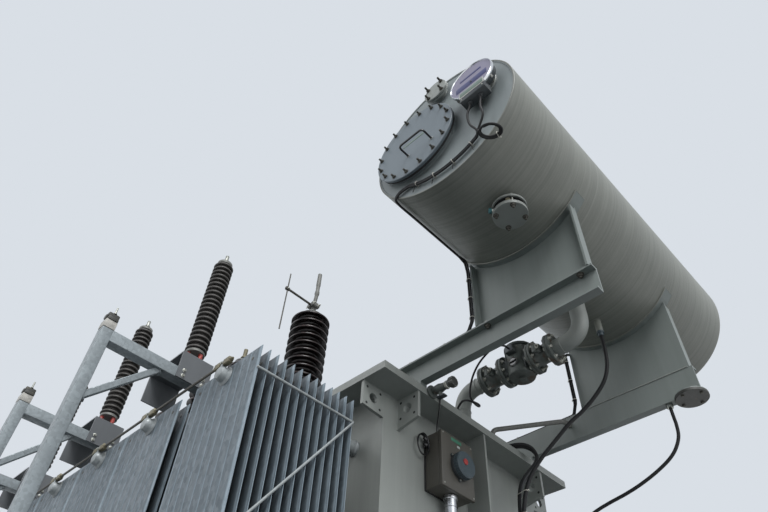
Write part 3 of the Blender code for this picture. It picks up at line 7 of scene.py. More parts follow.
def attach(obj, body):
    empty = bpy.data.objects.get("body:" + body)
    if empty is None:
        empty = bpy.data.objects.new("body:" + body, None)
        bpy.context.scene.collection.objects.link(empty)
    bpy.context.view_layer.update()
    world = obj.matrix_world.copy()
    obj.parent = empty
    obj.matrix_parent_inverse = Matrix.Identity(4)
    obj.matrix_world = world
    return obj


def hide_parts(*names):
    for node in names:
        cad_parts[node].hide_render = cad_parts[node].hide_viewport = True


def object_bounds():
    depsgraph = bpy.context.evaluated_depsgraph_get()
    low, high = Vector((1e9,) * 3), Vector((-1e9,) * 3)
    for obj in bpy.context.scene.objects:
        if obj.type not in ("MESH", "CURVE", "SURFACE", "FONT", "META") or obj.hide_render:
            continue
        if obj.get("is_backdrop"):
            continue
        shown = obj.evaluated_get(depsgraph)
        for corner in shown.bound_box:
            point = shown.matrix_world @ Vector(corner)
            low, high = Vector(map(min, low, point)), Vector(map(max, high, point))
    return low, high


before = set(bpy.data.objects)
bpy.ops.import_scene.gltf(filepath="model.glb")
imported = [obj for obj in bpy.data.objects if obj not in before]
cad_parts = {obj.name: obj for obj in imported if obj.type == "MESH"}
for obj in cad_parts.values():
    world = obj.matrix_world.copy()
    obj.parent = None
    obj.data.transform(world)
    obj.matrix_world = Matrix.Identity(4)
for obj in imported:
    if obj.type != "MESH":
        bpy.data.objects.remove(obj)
cadCorners = [list(corner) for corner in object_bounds()]
print("packed model loaded:", len(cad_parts), "pieces")

site = {  # metres, the levels and walls that the pieces stand on
    "coverTop": 2.8923, "rimSeam": 2.8702, "tankSeams": ((2.8492, 0.0036), (0.2508, 0.0046)), "endX": 1.65, "sideY": 0.655,
    "rimX": 1.804, "rimY": 0.809,
}
axisX, axisY, up = (1.0, 0.0, 0.0), (0.0, 1.0, 0.0), (0.0, 0.0, 1.0)
nearward, down = (0.0, -1.0, 0.0), (0.0, 0.0, -1.0)


def linear(code):  # each sRGB channel of a hex code turned to linear light
    value = np.array([int(code[i:i + 2], 16) for i in (0, 2, 4)]) / 255
    value = np.where(value <= 0.04045, value / 12.92, ((value + 0.055) / 1.055) ** 2.4)
    return (*[float(channel) for channel in value], 1.0)


# Camera, lights and floor

studio = {
    "cameraPlace": (3.574, -2.542, 0.952), "lens": 28.886,
    "cameraRight": (0.71892, 0.69399, 0.03918), "cameraUp": (0.49433, -0.55010, 0.67308),
    "cameraBack": (0.48866, -0.46452, -0.73854),
    "backdrop": "d9dfe6", "skyStrength": 0.55, "keyStrength": 2.4, "keySpread": 25.0, "keyFrom": (4.2, -3.0, 6.5),
    "fillStrength": 0.7, "fillFrom": (-5.0, -6.0, 3.0),
    "sideStrength": 1.1, "sideFrom": (6.0, -0.8, 0.9), "floorPale": "e2e4e6", "floorDim": "55585a",
}


def addNode(tree, kind, settings=None, links=None):  # one node, its values and what feeds it
    node = tree.nodes.new("ShaderNode" + kind)
    for key, value in (settings or {}).items():
        if key == "stops":
            ramp = node.color_ramp.elements
            while len(ramp) < len(value):
                ramp.new(0.5)
            for stop, (place, colour) in zip(ramp, value):
                stop.position = place
                stop.color = colour
        elif isinstance(key, int) or not hasattr(node, key):
            node.inputs[key].default_value = value
        else:
            setattr(node, key, value)
    for key, source in (links or {}).items():
        tree.links.new(source, node.inputs[key])
    return node


def setCamera():
    data = bpy.data.cameras.new("viewCamera")
    data.sensor_width = 36.0
    data.lens = studio["lens"]
    data.clip_end = 200.0
    view = bpy.data.objects.new("viewCamera", data)
    bpy.context.scene.collection.objects.link(view)
    columns = (studio["cameraRight"], studio["cameraUp"], studio["cameraBack"])
    turn = Matrix(columns).transposed().to_4x4()
    view.matrix_world = Matrix.Translation(studio["cameraPlace"]) @ turn
    bpy.context.scene.camera = view


def seenRays(tree):  # 1 for the rays that show a thing to the eye, 0 for the bounced light
    path = addNode(tree, "LightPath")
    seen = addNode(tree, "Math", {"operation": "MAXIMUM"}, {0: path.outputs["Is Camera Ray"], 1: path.outputs["Is Glossy Ray"]})
    seen = addNode(tree, "Math", {"operation": "MAXIMUM"}, {0: seen.outputs[0], 1: path.outputs["Is Transmission Ray"]})
    return seen.outputs[0]


def setLights():
    for name, strength, spread, source in (
        ("keyLight", studio["keyStrength"], studio["keySpread"], studio["keyFrom"]),
        ("fillLight", studio["fillStrength"], studio["keySpread"] * 2, studio["fillFrom"]),
        ("sideLight", studio["sideStrength"], studio["keySpread"] * 2, studio["sideFrom"]),
    ):
        data = bpy.data.lights.new(name, "SUN")
        data.energy = strength
        data.angle = math.radians(spread)
        lamp = bpy.data.objects.new(name, data)
        bpy.context.scene.collection.objects.link(lamp)
        lamp.matrix_world = Vector(source).to_track_quat("Z", "Y").to_matrix().to_4x4()
    world = bpy.data.worlds.new("studioSky")
    bpy.context.scene.world = world
    world.use_nodes = True
    tree = world.node_tree
    tree.nodes.clear()
    lit = addNode(tree, "Background", {"Color": linear("ffffff"), "Strength": studio["skyStrength"]})
    shown = addNode(tree, "Background", {"Color": linear(studio["backdrop"]), "Strength": 1.0})
    mixed = addNode(tree, "MixShader", {}, {0: seenRays(tree), 1: lit.outputs[0], 2: shown.outputs[0]})
    addNode(tree, "OutputWorld", {}, {0: mixed.outputs[0]})


def setFloor():  # pale to the eye and darker to bounced light, as open ground under a bright sky is
    mesh = bpy.data.meshes.new("studioFloor")
    mesh.from_pydata([(-30, -30, 0), (30, -30, 0), (30, 30, 0), (-30, 30, 0)], [], [(0, 1, 2, 3)])
    floor = bpy.data.objects.new("studioFloor", mesh)
    bpy.context.scene.collection.objects.link(floor)
    material = bpy.data.materials.new("paleFloor")
    material.use_nodes = True
    tree = material.node_tree
    shader = tree.nodes["Principled BSDF"]
    shader.inputs["Roughness"].default_value = 0.9
    colour = addNode(tree, "Mix", {"data_type": "RGBA", 6: linear(studio["floorDim"]), 7: linear(studio["floorPale"])},
                     {0: seenRays(tree)})
    tree.links.new(colour.outputs[2], shader.inputs["Base Color"])
    mesh.materials.append(material)
    floor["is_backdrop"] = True


bpy.context.scene.view_settings.view_transform = "Standard"
setCamera()
setLights()
setFloor()
print("camera, lights and floor set")


# Materials

def startMaterial(name, code, roughness, metallic=0.0, **sockets):
    material = bpy.data.materials.new(name)
    material.use_nodes = True
    tree = material.node_tree
    shader = tree.nodes["Principled BSDF"]
    shader.inputs["Base Color"].default_value = linear(code)
    shader.inputs["Roughness"].default_value = roughness
    shader.inputs["Metallic"].default_value = metallic
    for key, value in sockets.items():
        shader.inputs[key.replace("_", " ")].default_value = value
    place = addNode(tree, "TexCoord")
    return material, tree, shader, place.outputs["Object"]


def feedShader(tree, shader, colour, rough=None, normal=None):
    for key, node in (("Roughness", rough), ("Normal", normal)):
        if node:
            tree.links.new(node.outputs[0], shader.inputs[key])
    tree.links.new(colour, shader.inputs["Base Color"])


def shadeOf(code, factor):  # the same colour, lighter or darker
    r, g, b, _ = linear(code)
    return (min(r * factor, 1.0), min(g * factor, 1.0), min(b * factor, 1.0), 1.0)


# The drum's, saddles', plates', lid's and brackets' colours below are the tank's grey painted darker, and the plate's
# and lid's also bluer: painted shade and painted sky light
enamel = {"colour": "949996", "drumShadedColour": "82857f", "saddleShadeColour": "7d8583", "plateSkyTintColour": "858e90",
          "lidShadeSkyColour": "6e7981", "boxColour": "57554f", "bracketShadeColour": "62666a", "roughness": 0.42, "peel": 260.0,
          "peelDepth": 0.05, "patch": 1.6, "rainStreaks": 9.0}


def sprayedEnamel(name, code, rings=False):
    # Two-coat enamel sprayed on steel: a soft satin, a faint orange peel, dust in patches and rain streaks
    material, tree, shader, place = startMaterial(name, code, enamel["roughness"])
    patch = addNode(tree, "TexNoise", {"Scale": enamel["patch"], "Detail": 5.0, "Roughness": 0.6}, {"Vector": place})
    streaks = (enamel["rainStreaks"], enamel["rainStreaks"], 0.5)
    streakPlace = addNode(tree, "Mapping", {"Scale": streaks}, {"Vector": place})
    streak = addNode(tree, "TexNoise", {"Scale": 2.0, "Detail": 6.0, "Roughness": 0.65}, {"Vector": streakPlace.outputs[0]})
    tone = addNode(tree, "Math", {"operation": "ADD"}, {0: patch.outputs[0], 1: streak.outputs[0]})
    stops = [(0.35, shadeOf(code, 0.86)), (0.62, shadeOf(code, 1.0)), (0.75, shadeOf(code, 1.07))]
    half = addNode(tree, "Math", {"operation": "MULTIPLY", 1: 0.5}, {0: tone.outputs[0]})
    colour = addNode(tree, "ValToRGB", {"stops": stops}, {0: half.outputs[0]})
    result = colour.outputs[0]
    peel = addNode(tree, "TexNoise", {"Scale": enamel["peel"], "Detail": 2.0}, {"Vector": place})
    height = peel.outputs[0]
    if rings:  # the plate was rolled, so fine hoops 4 to 20 mm apart run round the drum
        hoopPlace = addNode(tree, "Mapping", {"Scale": (0.10, 72.0, 0.10)}, {"Vector": place})
        hoop = addNode(tree, "TexNoise", {"Scale": 1.0, "Detail": 5.0, "Roughness": 0.7}, {"Vector": hoopPlace.outputs[0]})
        tints = [(0.3, (0.80, 0.80, 0.80, 1)), (0.5, (0.97, 0.97, 0.96, 1)), (0.72, (1.14, 1.14, 1.13, 1))]
        tint = addNode(tree, "ValToRGB", {"stops": tints}, {0: hoop.outputs[0]})
        mixed = addNode(tree, "Mix", {"data_type": "RGBA", "blend_type": "MULTIPLY", 0: 1.0}, {6: result, 7: tint.outputs[0]})
        result = mixed.outputs[2]
        height = addNode(tree, "Math", {"operation": "MULTIPLY_ADD", 1: 6.0}, {0: hoop.outputs[0], 2: height}).outputs[0]
    low = enamel["roughness"] - 0.06
    rough = addNode(tree, "MapRange", {"To Min": low, "To Max": low + 0.20}, {0: patch.outputs[0]})
    depth = enamel["peelDepth"] * (3.0 if rings else 1.0)
    bump = addNode(tree, "Bump", {"Strength": depth, "Distance": 0.002}, {"Height": height})
    feedShader(tree, shader, result, rough, bump)
    return material


# The panels' zinc colour is darker than the other zinc: painted shade between the close-set panels
zinc = {"colour": "7c8488", "panelShadeColour": "59636a", "castColour": "8d9395", "spangle": 70.0, "metallic": 0.3,
        "roughness": 0.46, "bloom": 3.0, "spread": 0.16}


def hotDippedZinc(name, code, metallic=zinc["metallic"], grain=(1.0, 1.0, 1.0), paintedLightAndShade=False):
    # Hot-dip galvanised steel: zinc crystals of about 15 mm, each a little lighter or darker, under a dull bloom
    material, tree, shader, place = startMaterial(name, code, zinc["roughness"], metallic)
    drawn = addNode(tree, "Mapping", {"Scale": grain}, {"Vector": place})
    crystal = addNode(tree, "TexVoronoi", {"Scale": zinc["spangle"]}, {"Vector": drawn.outputs[0]})
    split = addNode(tree, "SeparateColor", {}, {0: crystal.outputs["Color"]})
    bloomed = {"Scale": zinc["bloom"], "Detail": 7.0, "Roughness": 0.7}
    bloom = addNode(tree, "TexNoise", bloomed, {"Vector": drawn.outputs[0]})
    tone = addNode(tree, "Math", {"operation": "MULTIPLY_ADD", 1: 0.45}, {0: split.outputs[0], 2: bloom.outputs[0]})
    light, dark = 1 + zinc["spread"], 1 - zinc["spread"]
    stops = [(0.35, shadeOf(code, dark)), (0.70, shadeOf(code, 1.0)), (0.95, shadeOf(code, light))]
    result = addNode(tree, "ValToRGB", {"stops": stops}, {0: tone.outputs[0]}).outputs[0]
    if paintedLightAndShade:  # painted highlights lighter along the valley lines between a panel's flutes, painted shade darker where a flank lies deep
        line = addNode(tree, "Attribute", {"attribute_name": "rim"})
        for way, other in ((0.8, 2.6), (-0.8, 0.12)):
            share = addNode(tree, "Math", {"operation": "MULTIPLY", 1: way}, {0: line.outputs["Fac"]})
            mixed = addNode(tree, "Mix", {"data_type": "RGBA", 7: shadeOf(code, other)}, {0: share.outputs[0], 6: result})
            result = mixed.outputs[2]
    low = zinc["roughness"] - 0.08
    rough = addNode(tree, "MapRange", {"To Min": low, "To Max": low + 0.28}, {0: split.outputs[1]})
    fine = addNode(tree, "TexNoise", {"Scale": 160.0, "Detail": 3.0}, {"Vector": place})
    bump = addNode(tree, "Bump", {"Strength": 0.12, "Distance": 0.002}, {"Height": fine.outputs[0]})
    feedShader(tree, shader, result, rough, bump)
    return material


def speckled(name, code, roughness, metallic=0.0, scale=40.0, low=0.8, high=1.15, bump=0.08, **sockets):
    # A plain finish with the uneven tone of its casting, moulding or polish
    material, tree, shader, place = startMaterial(name, code, roughness, metallic, **sockets)
    grain = addNode(tree, "TexNoise", {"Scale": scale, "Detail": 5.0, "Roughness": 0.6}, {"Vector": place})
    stops = [(0.33, shadeOf(code, low)), (0.66, shadeOf(code, high))]
    colour = addNode(tree, "ValToRGB", {"stops": stops}, {0: grain.outputs[0]})
    smooth, dull = max(roughness - 0.06, 0.03), roughness + 0.1
    rough = addNode(tree, "MapRange", {"To Min": smooth, "To Max": dull}, {0: grain.outputs[0]})
    fine = addNode(tree, "TexNoise", {"Scale": 220.0, "Detail": 3.0}, {"Vector": place})
    lift = addNode(tree, "Bump", {"Strength": bump, "Distance": 0.001}, {"Height": fine.outputs[0]})
    feedShader(tree, shader, colour.outputs[0], rough, lift)
    return material


def rimmed(name, body, rim, roughness, start, end, **sockets):
    # The colour at a shed's edge, where the glaze runs thin or the rubber is rubbed, by the mesh's own rim value
    material, tree, shader, place = startMaterial(name, body, roughness, **sockets)
    edge = addNode(tree, "Attribute", {"attribute_name": "rim"})
    grain = addNode(tree, "TexNoise", {"Scale": 30.0, "Detail": 4.0}, {"Vector": place})
    reach = addNode(tree, "Math", {"operation": "MULTIPLY_ADD", 1: 0.12}, {0: grain.outputs[0], 2: edge.outputs["Fac"]})
    share = addNode(tree, "MapRange", {"From Min": start, "From Max": end}, {0: reach.outputs[0]})
    stops = [(0.35, shadeOf(body, 0.75)), (0.65, shadeOf(body, 1.25))]
    dark = addNode(tree, "ValToRGB", {"stops": stops}, {0: grain.outputs[0]})
    colour = addNode(tree, "Mix", {"data_type": "RGBA", 7: linear(rim)}, {0: share.outputs[0], 6: dark.outputs[0]})
    feedShader(tree, shader, colour.outputs[2])
    return material


def weatheredCast(name, code, stain, amount):
    # Painted iron casting, its coat chalked, with rust-brown stains round bolts and edges
    material, tree, shader, place = startMaterial(name, code, 0.5, 0.1)
    grain = addNode(tree, "TexNoise", {"Scale": 26.0, "Detail": 7.0, "Roughness": 0.7}, {"Vector": place})
    patch = addNode(tree, "TexNoise", {"Scale": 14.0, "Detail": 4.0, "Roughness": 0.6}, {"Vector": place})
    stops = [(0.3, shadeOf(code, 0.6)), (0.55, shadeOf(code, 1.0)), (0.75, shadeOf(code, 1.5))]
    base = addNode(tree, "ValToRGB", {"stops": stops}, {0: grain.outputs[0]})
    share = addNode(tree, "MapRange", {"From Min": 0.62 - amount, "From Max": 0.74 - amount}, {0: patch.outputs[0]})
    colour = addNode(tree, "Mix", {"data_type": "RGBA", 7: linear(stain)}, {0: share.outputs[0], 6: base.outputs[0]})
    lift = addNode(tree, "Bump", {"Strength": 0.25, "Distance": 0.001}, {"Height": grain.outputs[0]})
    feedShader(tree, shader, colour.outputs[2], None, lift)
    return material


paint = sprayedEnamel("sprayedGreyEnamel", enamel["colour"])
# The drum's enamel is the tank's grey painted darker: painted shade on the drum
shadedDrumPaint = sprayedEnamel("rolledDrumShadedEnamel", enamel["drumShadedColour"], rings=True)
# The end plates' enamel is the tank's grey painted bluer and a little darker: painted sky light and painted shade on
# the plates
skyTintedPlatePaint = sprayedEnamel("greyPlateEnamelSkyTinted", enamel["plateSkyTintColour"])
# The saddles and beams carry the tank's enamel painted darker: painted shade
shadedSaddlePaint = sprayedEnamel("shadedSaddleEnamel", enamel["saddleShadeColour"])
# The lid's enamel is the plates' grey painted darker and bluer still: painted shade and painted sky light on the lid
shadedSkyLidPaint = sprayedEnamel("greyLidEnamelShadedSkyTinted", enamel["lidShadeSkyColour"])
boxPaint = sprayedEnamel("umberGreyBoxEnamel", enamel["boxColour"])
galvanised = hotDippedZinc("hotDippedZinc", zinc["colour"])
# The radiator panels' zinc, with painted highlights along their valley lines and painted shade on their deep flanks
panelZincWithPaintedLight = hotDippedZinc("drawnPanelZincPaintedLight", zinc["panelShadeColour"], grain=(1.0, 1.0, 0.6), paintedLightAndShade=True)
castIron = weatheredCast("weatheredCastIron", "565c59", "4a3d31", 0.06)
relayCast = weatheredCast("darkRelayCasting", "343a39", "2c2a26", 0.0)
porcelain = rimmed("brownGlazedPorcelain", "120a0a", "453836", 0.30, 1.045, 1.09, Specular_IOR_Level=0.3,
                   Coat_Weight=0.12, Coat_Roughness=0.08)
silicone = rimmed("greySiliconeRubber", "393735", "4a4744", 0.55, 1.0, 1.1)
rubber = speckled("blackCableRubber", "0c0d0f", 0.55, scale=60.0, bump=0.05, Specular_IOR_Level=0.3)
gasket = speckled("nitrileGasket", "0f0f10", 0.6)
zincBolt = speckled("zincPlatedSteel", "a2a39c", 0.34, 0.85, 90.0)
darkBolt = speckled("weatheredBoltSteel", "4b4a45", 0.5, 0.6, 90.0, 0.7, 1.3)
aluminium = speckled("drawnAluminium", "c3c5c8", 0.26, 1.0, 30.0, 0.9, 1.06)
dullAluminium = speckled("weatheredAluminium", "6c6d6a", 0.55, 0.25, 60.0)
chrome = speckled("polishedChrome", "d6d8da", 0.12, 1.0, 20.0, 0.95, 1.04, bump=0.01)
brass = speckled("oliveBrass", "6a6553", 0.48, 0.5, 70.0, 0.7, 1.25)
darkCasing = speckled("darkGaugeEnamel", "3a3f42", 0.35, 0.2, 50.0)
dialViolet = speckled("printedDialEnamel", "7f7b93", 0.35, 0.0, 14.0, 0.95, 1.06, bump=0.0, Coat_Weight=0.3,
                      Coat_Roughness=0.08)
dialDark = speckled("dialWindowEnamel", "42456e", 0.4, 0.0, 14.0, 0.95, 1.06, bump=0.0, Specular_IOR_Level=0.3)
blankStrip = speckled("bareLabelStrip", "b7c0bd", 0.4, 0.0, 20.0, 0.96, 1.04)
slateBlue = speckled("slateBlueDialPlastic", "46535a", 0.38, 0.0, 60.0, 0.92, 1.08)
redPlastic = speckled("redKnobPlastic", "a63a37", 0.4, 0.0, 60.0, 0.94, 1.06)
redResin = speckled("redInsulatorResin", "9d3b33", 0.35, 0.0, 60.0, 0.9, 1.1)
whiteNylon = speckled("naturalNylonTie", "d8d6cc", 0.45, 0.0, 80.0, 0.95, 1.03)
# The brackets' pale enamel is painted dark grey: painted shade on the brackets
shadedBracketPaint = sprayedEnamel("bracketEnamelPaintedShade", enamel["bracketShadeColour"])
blackEnamel = speckled("blackBarEnamel", "1c1d1f", 0.3, 0.0, 60.0, bump=0.03)
paleTrim = speckled("brushedSteelTrim", "b4b3ae", 0.3, 0.7, 50.0, 0.9, 1.08)
greenGreyStrip = speckled("bareGreyGreenStrip", "66786f", 0.4, 0.0, 20.0, 0.94, 1.05)
greenStrip = speckled("bareGreenStrip", "3f7a63", 0.4, 0.0, 20.0, 0.94, 1.05)
tealCap = speckled("tealPlasticCap", "2d6a70", 0.4, 0.0, 40.0, 0.92, 1.06)
sightGlass = speckled("darkSightGlass", "0c0f10", 0.05, 0.0, 20.0, 0.9, 1.1, bump=0.0, Coat_Weight=1.0,
                      Coat_Roughness=0.02)
headerZinc = hotDippedZinc("paleDippedCasting", zinc["castColour"], 0.2)
darkHole = speckled("shadedBoltHole", "16181a", 0.8, 0.0, 60.0)
whiteResin = speckled("paleResinSeat", "a5a49f", 0.5, 0.0, 50.0)
# A dark cast iron for the clamps and the edge valve's cap, also put on the pad under the far beam as painted shade
darkIronAndPaintedShade = weatheredCast("darkClampCastingAndPaintedShade", "3b3c39", "5b5648", 0.02)
print("materials made:", len(bpy.data.materials))


# Surfaces as whole arrays

def outward(points, sizes, loops):  # the volume's sign tells whether the faces look in, and then they are turned
    starts = np.concatenate([[0], np.cumsum(sizes)[:-1]])
    following = np.roll(loops, -1)
    following[starts + sizes - 1] = loops[starts]
    first = np.repeat(loops[starts], sizes)
    volume = np.einsum("ij,ij->", points[first], np.cross(points[loops], points[following]))
    if volume < 0:
        loops, sizes = loops[::-1], sizes[::-1]
    return {"points": points, "sizes": np.array(sizes), "loops": np.array(loops)}


def gridShape(points, around=True, closed=False):
    # Rows of points joined by four-sided faces, each row a ring, the first and last rings closed flat
    rows, columns = points.shape[:2]
    r = np.arange(rows if closed else rows - 1)[:, None]
    c = np.arange(columns if around else columns - 1)[None, :]
    here, above = r * columns, ((r + 1) % rows) * columns
    onward = (c + 1) % columns
    quads = np.stack([here + c, here + onward, above + onward, above + c], -1).reshape(-1, 4)
    sizes, loops = np.full(len(quads), 4), quads.ravel()
    if not closed:
        ends = np.concatenate([np.arange(columns)[::-1], (rows - 1) * columns + np.arange(columns)])
        sizes, loops = np.concatenate([sizes, [columns, columns]]), np.concatenate([loops, ends])
    return outward(points.reshape(-1, 3), sizes, loops)


def facing(place, direction):  # a frame at the place whose Z looks along the direction
    turn = Vector(direction).to_track_quat("Z", "Y").to_matrix().to_4x4()
    return np.array(Matrix.Translation(place) @ turn)


def moved(points, place):
    return points @ place[:3, :3].T + place[:3, 3]


def turned(profile, place=(0, 0, 0), direction=(0, 0, 1), segments=48, closed=False):
    # Radius and height pairs carried once round the frame's Z axis
    radius, height = np.array(profile, float).T
    angle = np.linspace(0, 2 * np.pi, segments, endpoint=False)
    points = np.stack([radius[:, None] * np.cos(angle), radius[:, None] * np.sin(angle),
                       np.repeat(height[:, None], segments, 1)], -1)
    return gridShape(moved(points, facing(place, direction)), closed=closed)


def disc(radius, low, high, edge=0.002, **more):  # a round plate with its two edges broken
    edge = min(edge, (high - low) / 2.2)
    return turned([(radius - edge, low), (radius, low + edge), (radius, high - edge), (radius - edge, high)], **more)


def softBox(low, high, edge=0.004, steps=2, place=None):
    # A rounded rectangle carried up Z, drawn in by a quarter round at both ends
    low, high = np.array(low, float), np.array(high, float)
    middle, half = (low + high) / 2, (high - low) / 2
    edge = min(edge, 0.45 * float(half.min()))
    turn = np.linspace(0, np.pi / 2, steps + 1)
    reach = np.concatenate([np.sin(turn), np.sin(turn[::-1])]) * 0.9 + 0.1
    rise = np.concatenate([-half[2] + edge * (1 - np.cos(turn)), half[2] - edge * (1 - np.cos(turn[::-1]))])
    around = (np.arange(4)[:, None] * np.pi / 2 + turn).ravel()
    side = np.repeat(np.array([(1, 1), (-1, 1), (-1, -1), (1, -1)]), steps + 1, axis=0)
    x = side[:, 0] * (half[0] - edge) + edge * reach[:, None] * np.cos(around)
    y = side[:, 1] * (half[1] - edge) + edge * reach[:, None] * np.sin(around)
    points = np.stack([x, y, np.repeat(rise[:, None], x.shape[1], 1)], -1) + middle
    return gridShape(points if place is None else moved(points, place))


def smoothPath(knots, step):
    # A centripetal curve through the knots, its first and last spans straight
    knots = np.array(knots, float)
    pieces = [knots[:1]]
    for p0, p1, p2, p3 in zip(knots, knots[1:], knots[2:], knots[3:]):
        t1 = np.linalg.norm(p1 - p0) ** 0.5
        t2 = t1 + np.linalg.norm(p2 - p1) ** 0.5
        t3 = t2 + np.linalg.norm(p3 - p2) ** 0.5
        t = np.linspace(t1, t2, max(2, int(np.linalg.norm(p2 - p1) / step) + 1), endpoint=False)[:, None]
        a1, a2 = p0 * (1 - t / t1) + p1 * t / t1, p1 * (t2 - t) / (t2 - t1) + p2 * (t - t1) / (t2 - t1)
        a3 = p2 * (t3 - t) / (t3 - t2) + p3 * (t - t2) / (t3 - t2)
        b1, b2 = a1 * (t2 - t) / t2 + a2 * t / t2, a2 * (t3 - t) / (t3 - t1) + a3 * (t - t1) / (t3 - t1)
        pieces.append(b1 * (t2 - t) / (t2 - t1) + b2 * (t - t1) / (t2 - t1))
    return np.concatenate([*pieces, knots[-2:]])


def bentPath(corners, bend, count=8):
    # Straight runs whose corners are rounded from a bend's length before each to as far after it
    corners = np.array(corners, float)
    share = np.linspace(0, 1, count)[:, None]
    pieces = [corners[:1]]
    for before, corner, after in zip(corners, corners[1:], corners[2:]):
        start = corner + (before - corner) / np.linalg.norm(before - corner) * bend
        end = corner + (after - corner) / np.linalg.norm(after - corner) * bend
        pieces.append(start * (1 - share) ** 2 + corner * 2 * share * (1 - share) + end * share ** 2)
    return np.concatenate([*pieces, corners[-1:]])


def tube(path, radius, sides=14):
    # A circle carried along the path, its frame turned from point to point by the least amount
    path = np.array(path, float)
    ahead = np.gradient(path, axis=0)
    ahead[0], ahead[-1] = path[1] - path[0], path[-1] - path[-2]
    ahead /= np.linalg.norm(ahead, axis=1)[:, None]
    side = np.cross(ahead[0], (0.0, 0.0, 1.0) if abs(ahead[0][2]) < 0.9 else (0.0, 1.0, 0.0))
    frames = []
    for direction in ahead:
        side = side - direction * np.dot(side, direction)
        side = side / np.linalg.norm(side)
        frames.append((side, np.cross(direction, side)))
    frames = np.array(frames)
    angle = np.linspace(0, 2 * np.pi, sides, endpoint=False)
    circle = np.stack([np.cos(angle), np.sin(angle)])
    points = path[:, None] + np.einsum("rkc,ks->rsc", frames, circle) * np.reshape(radius, (-1, 1, 1))
    return gridShape(points)


def copies(shape, places):  # the same shape set in many frames at once
    places = np.array(places)
    points = np.einsum("nij,vj->nvi", places[:, :3, :3], shape["points"]) + places[:, None, :3, 3]
    shift = np.arange(len(places)) * len(shape["points"])
    return {"points": points.reshape(-1, 3), "sizes": np.tile(shape["sizes"], len(places)),
            "loops": (shape["loops"] + shift[:, None]).ravel()}


def hexBolt(size, stud=0.0):
    # A six-sided head with broken corners on a round washer, and the thread's end standing out of a nut
    across, high, thread = size * 0.95, size * 0.75, size * 0.52
    parts = [turned([(size * 1.15, 0.0), (size * 1.15, size * 0.12), (size * 1.05, size * 0.18)], segments=12),
             turned([(across * 0.98, size * 0.16), (across, size * 0.2), (across, high), (across * 0.82, high + size * 0.12)],
                    segments=6)]
    if stud:
        end = high + stud
        parts.append(turned([(thread, size * 0.3), (thread, end), (size * 0.4, end + size * 0.1)], segments=8))
    return joined(parts)


def joined(shapes):
    shift = np.cumsum([0] + [len(shape["points"]) for shape in shapes[:-1]])
    return {"points": np.concatenate([shape["points"] for shape in shapes]),
            "sizes": np.concatenate([shape["sizes"] for shape in shapes]),
            "loops": np.concatenate([shape["loops"] + lift for shape, lift in zip(shapes, shift)])}


def ringPlaces(place, direction, radius, count, start=0.0):  # frames on a bolt circle, all looking one way
    base = facing(place, direction)
    angle = start + np.arange(count) * 2 * np.pi / count
    places = np.repeat(base[None], count, 0)
    places[:, :3, 3] += radius * (np.cos(angle)[:, None] * base[:3, 0] + np.sin(angle)[:, None] * base[:3, 1])
    return places


def rowPlaces(points, direction):  # frames at given points, all looking one way
    places = np.repeat(facing((0, 0, 0), direction)[None], len(points), 0)
    places[:, :3, 3] = np.array(points, float)
    return places


def makePiece(name, parts, stands=(), sharp=38.0, rim=None):
    # Shapes with their materials put into one mesh, riding on the fixed body
    whole = joined([shape for shape, _ in parts])
    finishes = list(dict.fromkeys(material.name for _, material in parts))
    index = np.concatenate([np.full(len(shape["sizes"]), finishes.index(material.name)) for shape, material in parts])
    mesh = bpy.data.meshes.new(name)
    mesh.vertices.add(len(whole["points"]))
    mesh.vertices.foreach_set("co", whole["points"].ravel())
    mesh.loops.add(len(whole["loops"]))
    mesh.loops.foreach_set("vertex_index", whole["loops"].astype(np.int32))
    mesh.polygons.add(len(whole["sizes"]))
    starts = np.concatenate([[0], np.cumsum(whole["sizes"])[:-1]])
    mesh.polygons.foreach_set("loop_start", starts.astype(np.int32))
    mesh.polygons.foreach_set("material_index", index.astype(np.int32))
    for finish in finishes:
        mesh.materials.append(bpy.data.materials[finish])
    # rim: a value per point that the materials read; for the sheds, the distance from the axis; for the radiator
    # panels, where their painted highlights and painted shade go
    if rim is not None:
        mesh.attributes.new("rim", "FLOAT", "POINT").data.foreach_set("value", rim(whole["points"]).astype(np.float32))
    mesh.update(calc_edges=True)
    mesh.shade_smooth()
    mesh.set_sharp_from_angle(angle=math.radians(sharp))
    piece = bpy.data.objects.new(name, mesh)
    bpy.context.scene.collection.objects.link(piece)
    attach(piece, "root")
    if stands:
        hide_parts(*stands)
    return piece


def rod(start, end, radius, segments=18, edge=0.0015):  # a round bar between two points
    along = np.subtract(end, start)
    return disc(radius, 0.0, float(np.linalg.norm(along)), edge, place=start, direction=along, segments=segments)


def bead(path, size=0.004, sides=6):  # a weld bead, its radius rippled along the path
    path = np.array(path, float)
    return tube(path, size * (1.0 + 0.14 * np.sin(np.arange(len(path)) * 2.1)), sides)


def ringPath(place, direction, radius, count):  # points on a circle about the direction
    base = facing(place, direction)
    angle = np.linspace(0, 2 * np.pi, count)[:, None]
    return base[:3, 3] + radius * (np.cos(angle) * base[:3, 0] + np.sin(angle) * base[:3, 1])


def linePath(start, end, step):
    count = max(3, int(np.linalg.norm(np.subtract(end, start)) / step))
    share = np.linspace(0, 1, count)[:, None]
    return np.array(start, float) * (1 - share) + np.array(end, float) * share


def ringWeld(place, direction, radius, count, size):
    return bead(ringPath(place, direction, radius, count), size)


def lineWeld(start, end, size=0.0035, step=0.012):
    return bead(linePath(start, end, step), size)


def boltRing(size, place, direction, radius, count, first=0.0, stud=0.0):  # equal bolts on a bolt circle
    return copies(hexBolt(size, stud), ringPlaces(place, direction, radius, count, first))


def boltRow(size, points, direction, stud=0.0):  # equal bolts at given points
    return copies(hexBolt(size, stud), rowPlaces(points, direction))


def dressed(material, *shapes):  # several shapes of one material
    return [(shape, material) for shape in shapes]


# Free hoses and leads

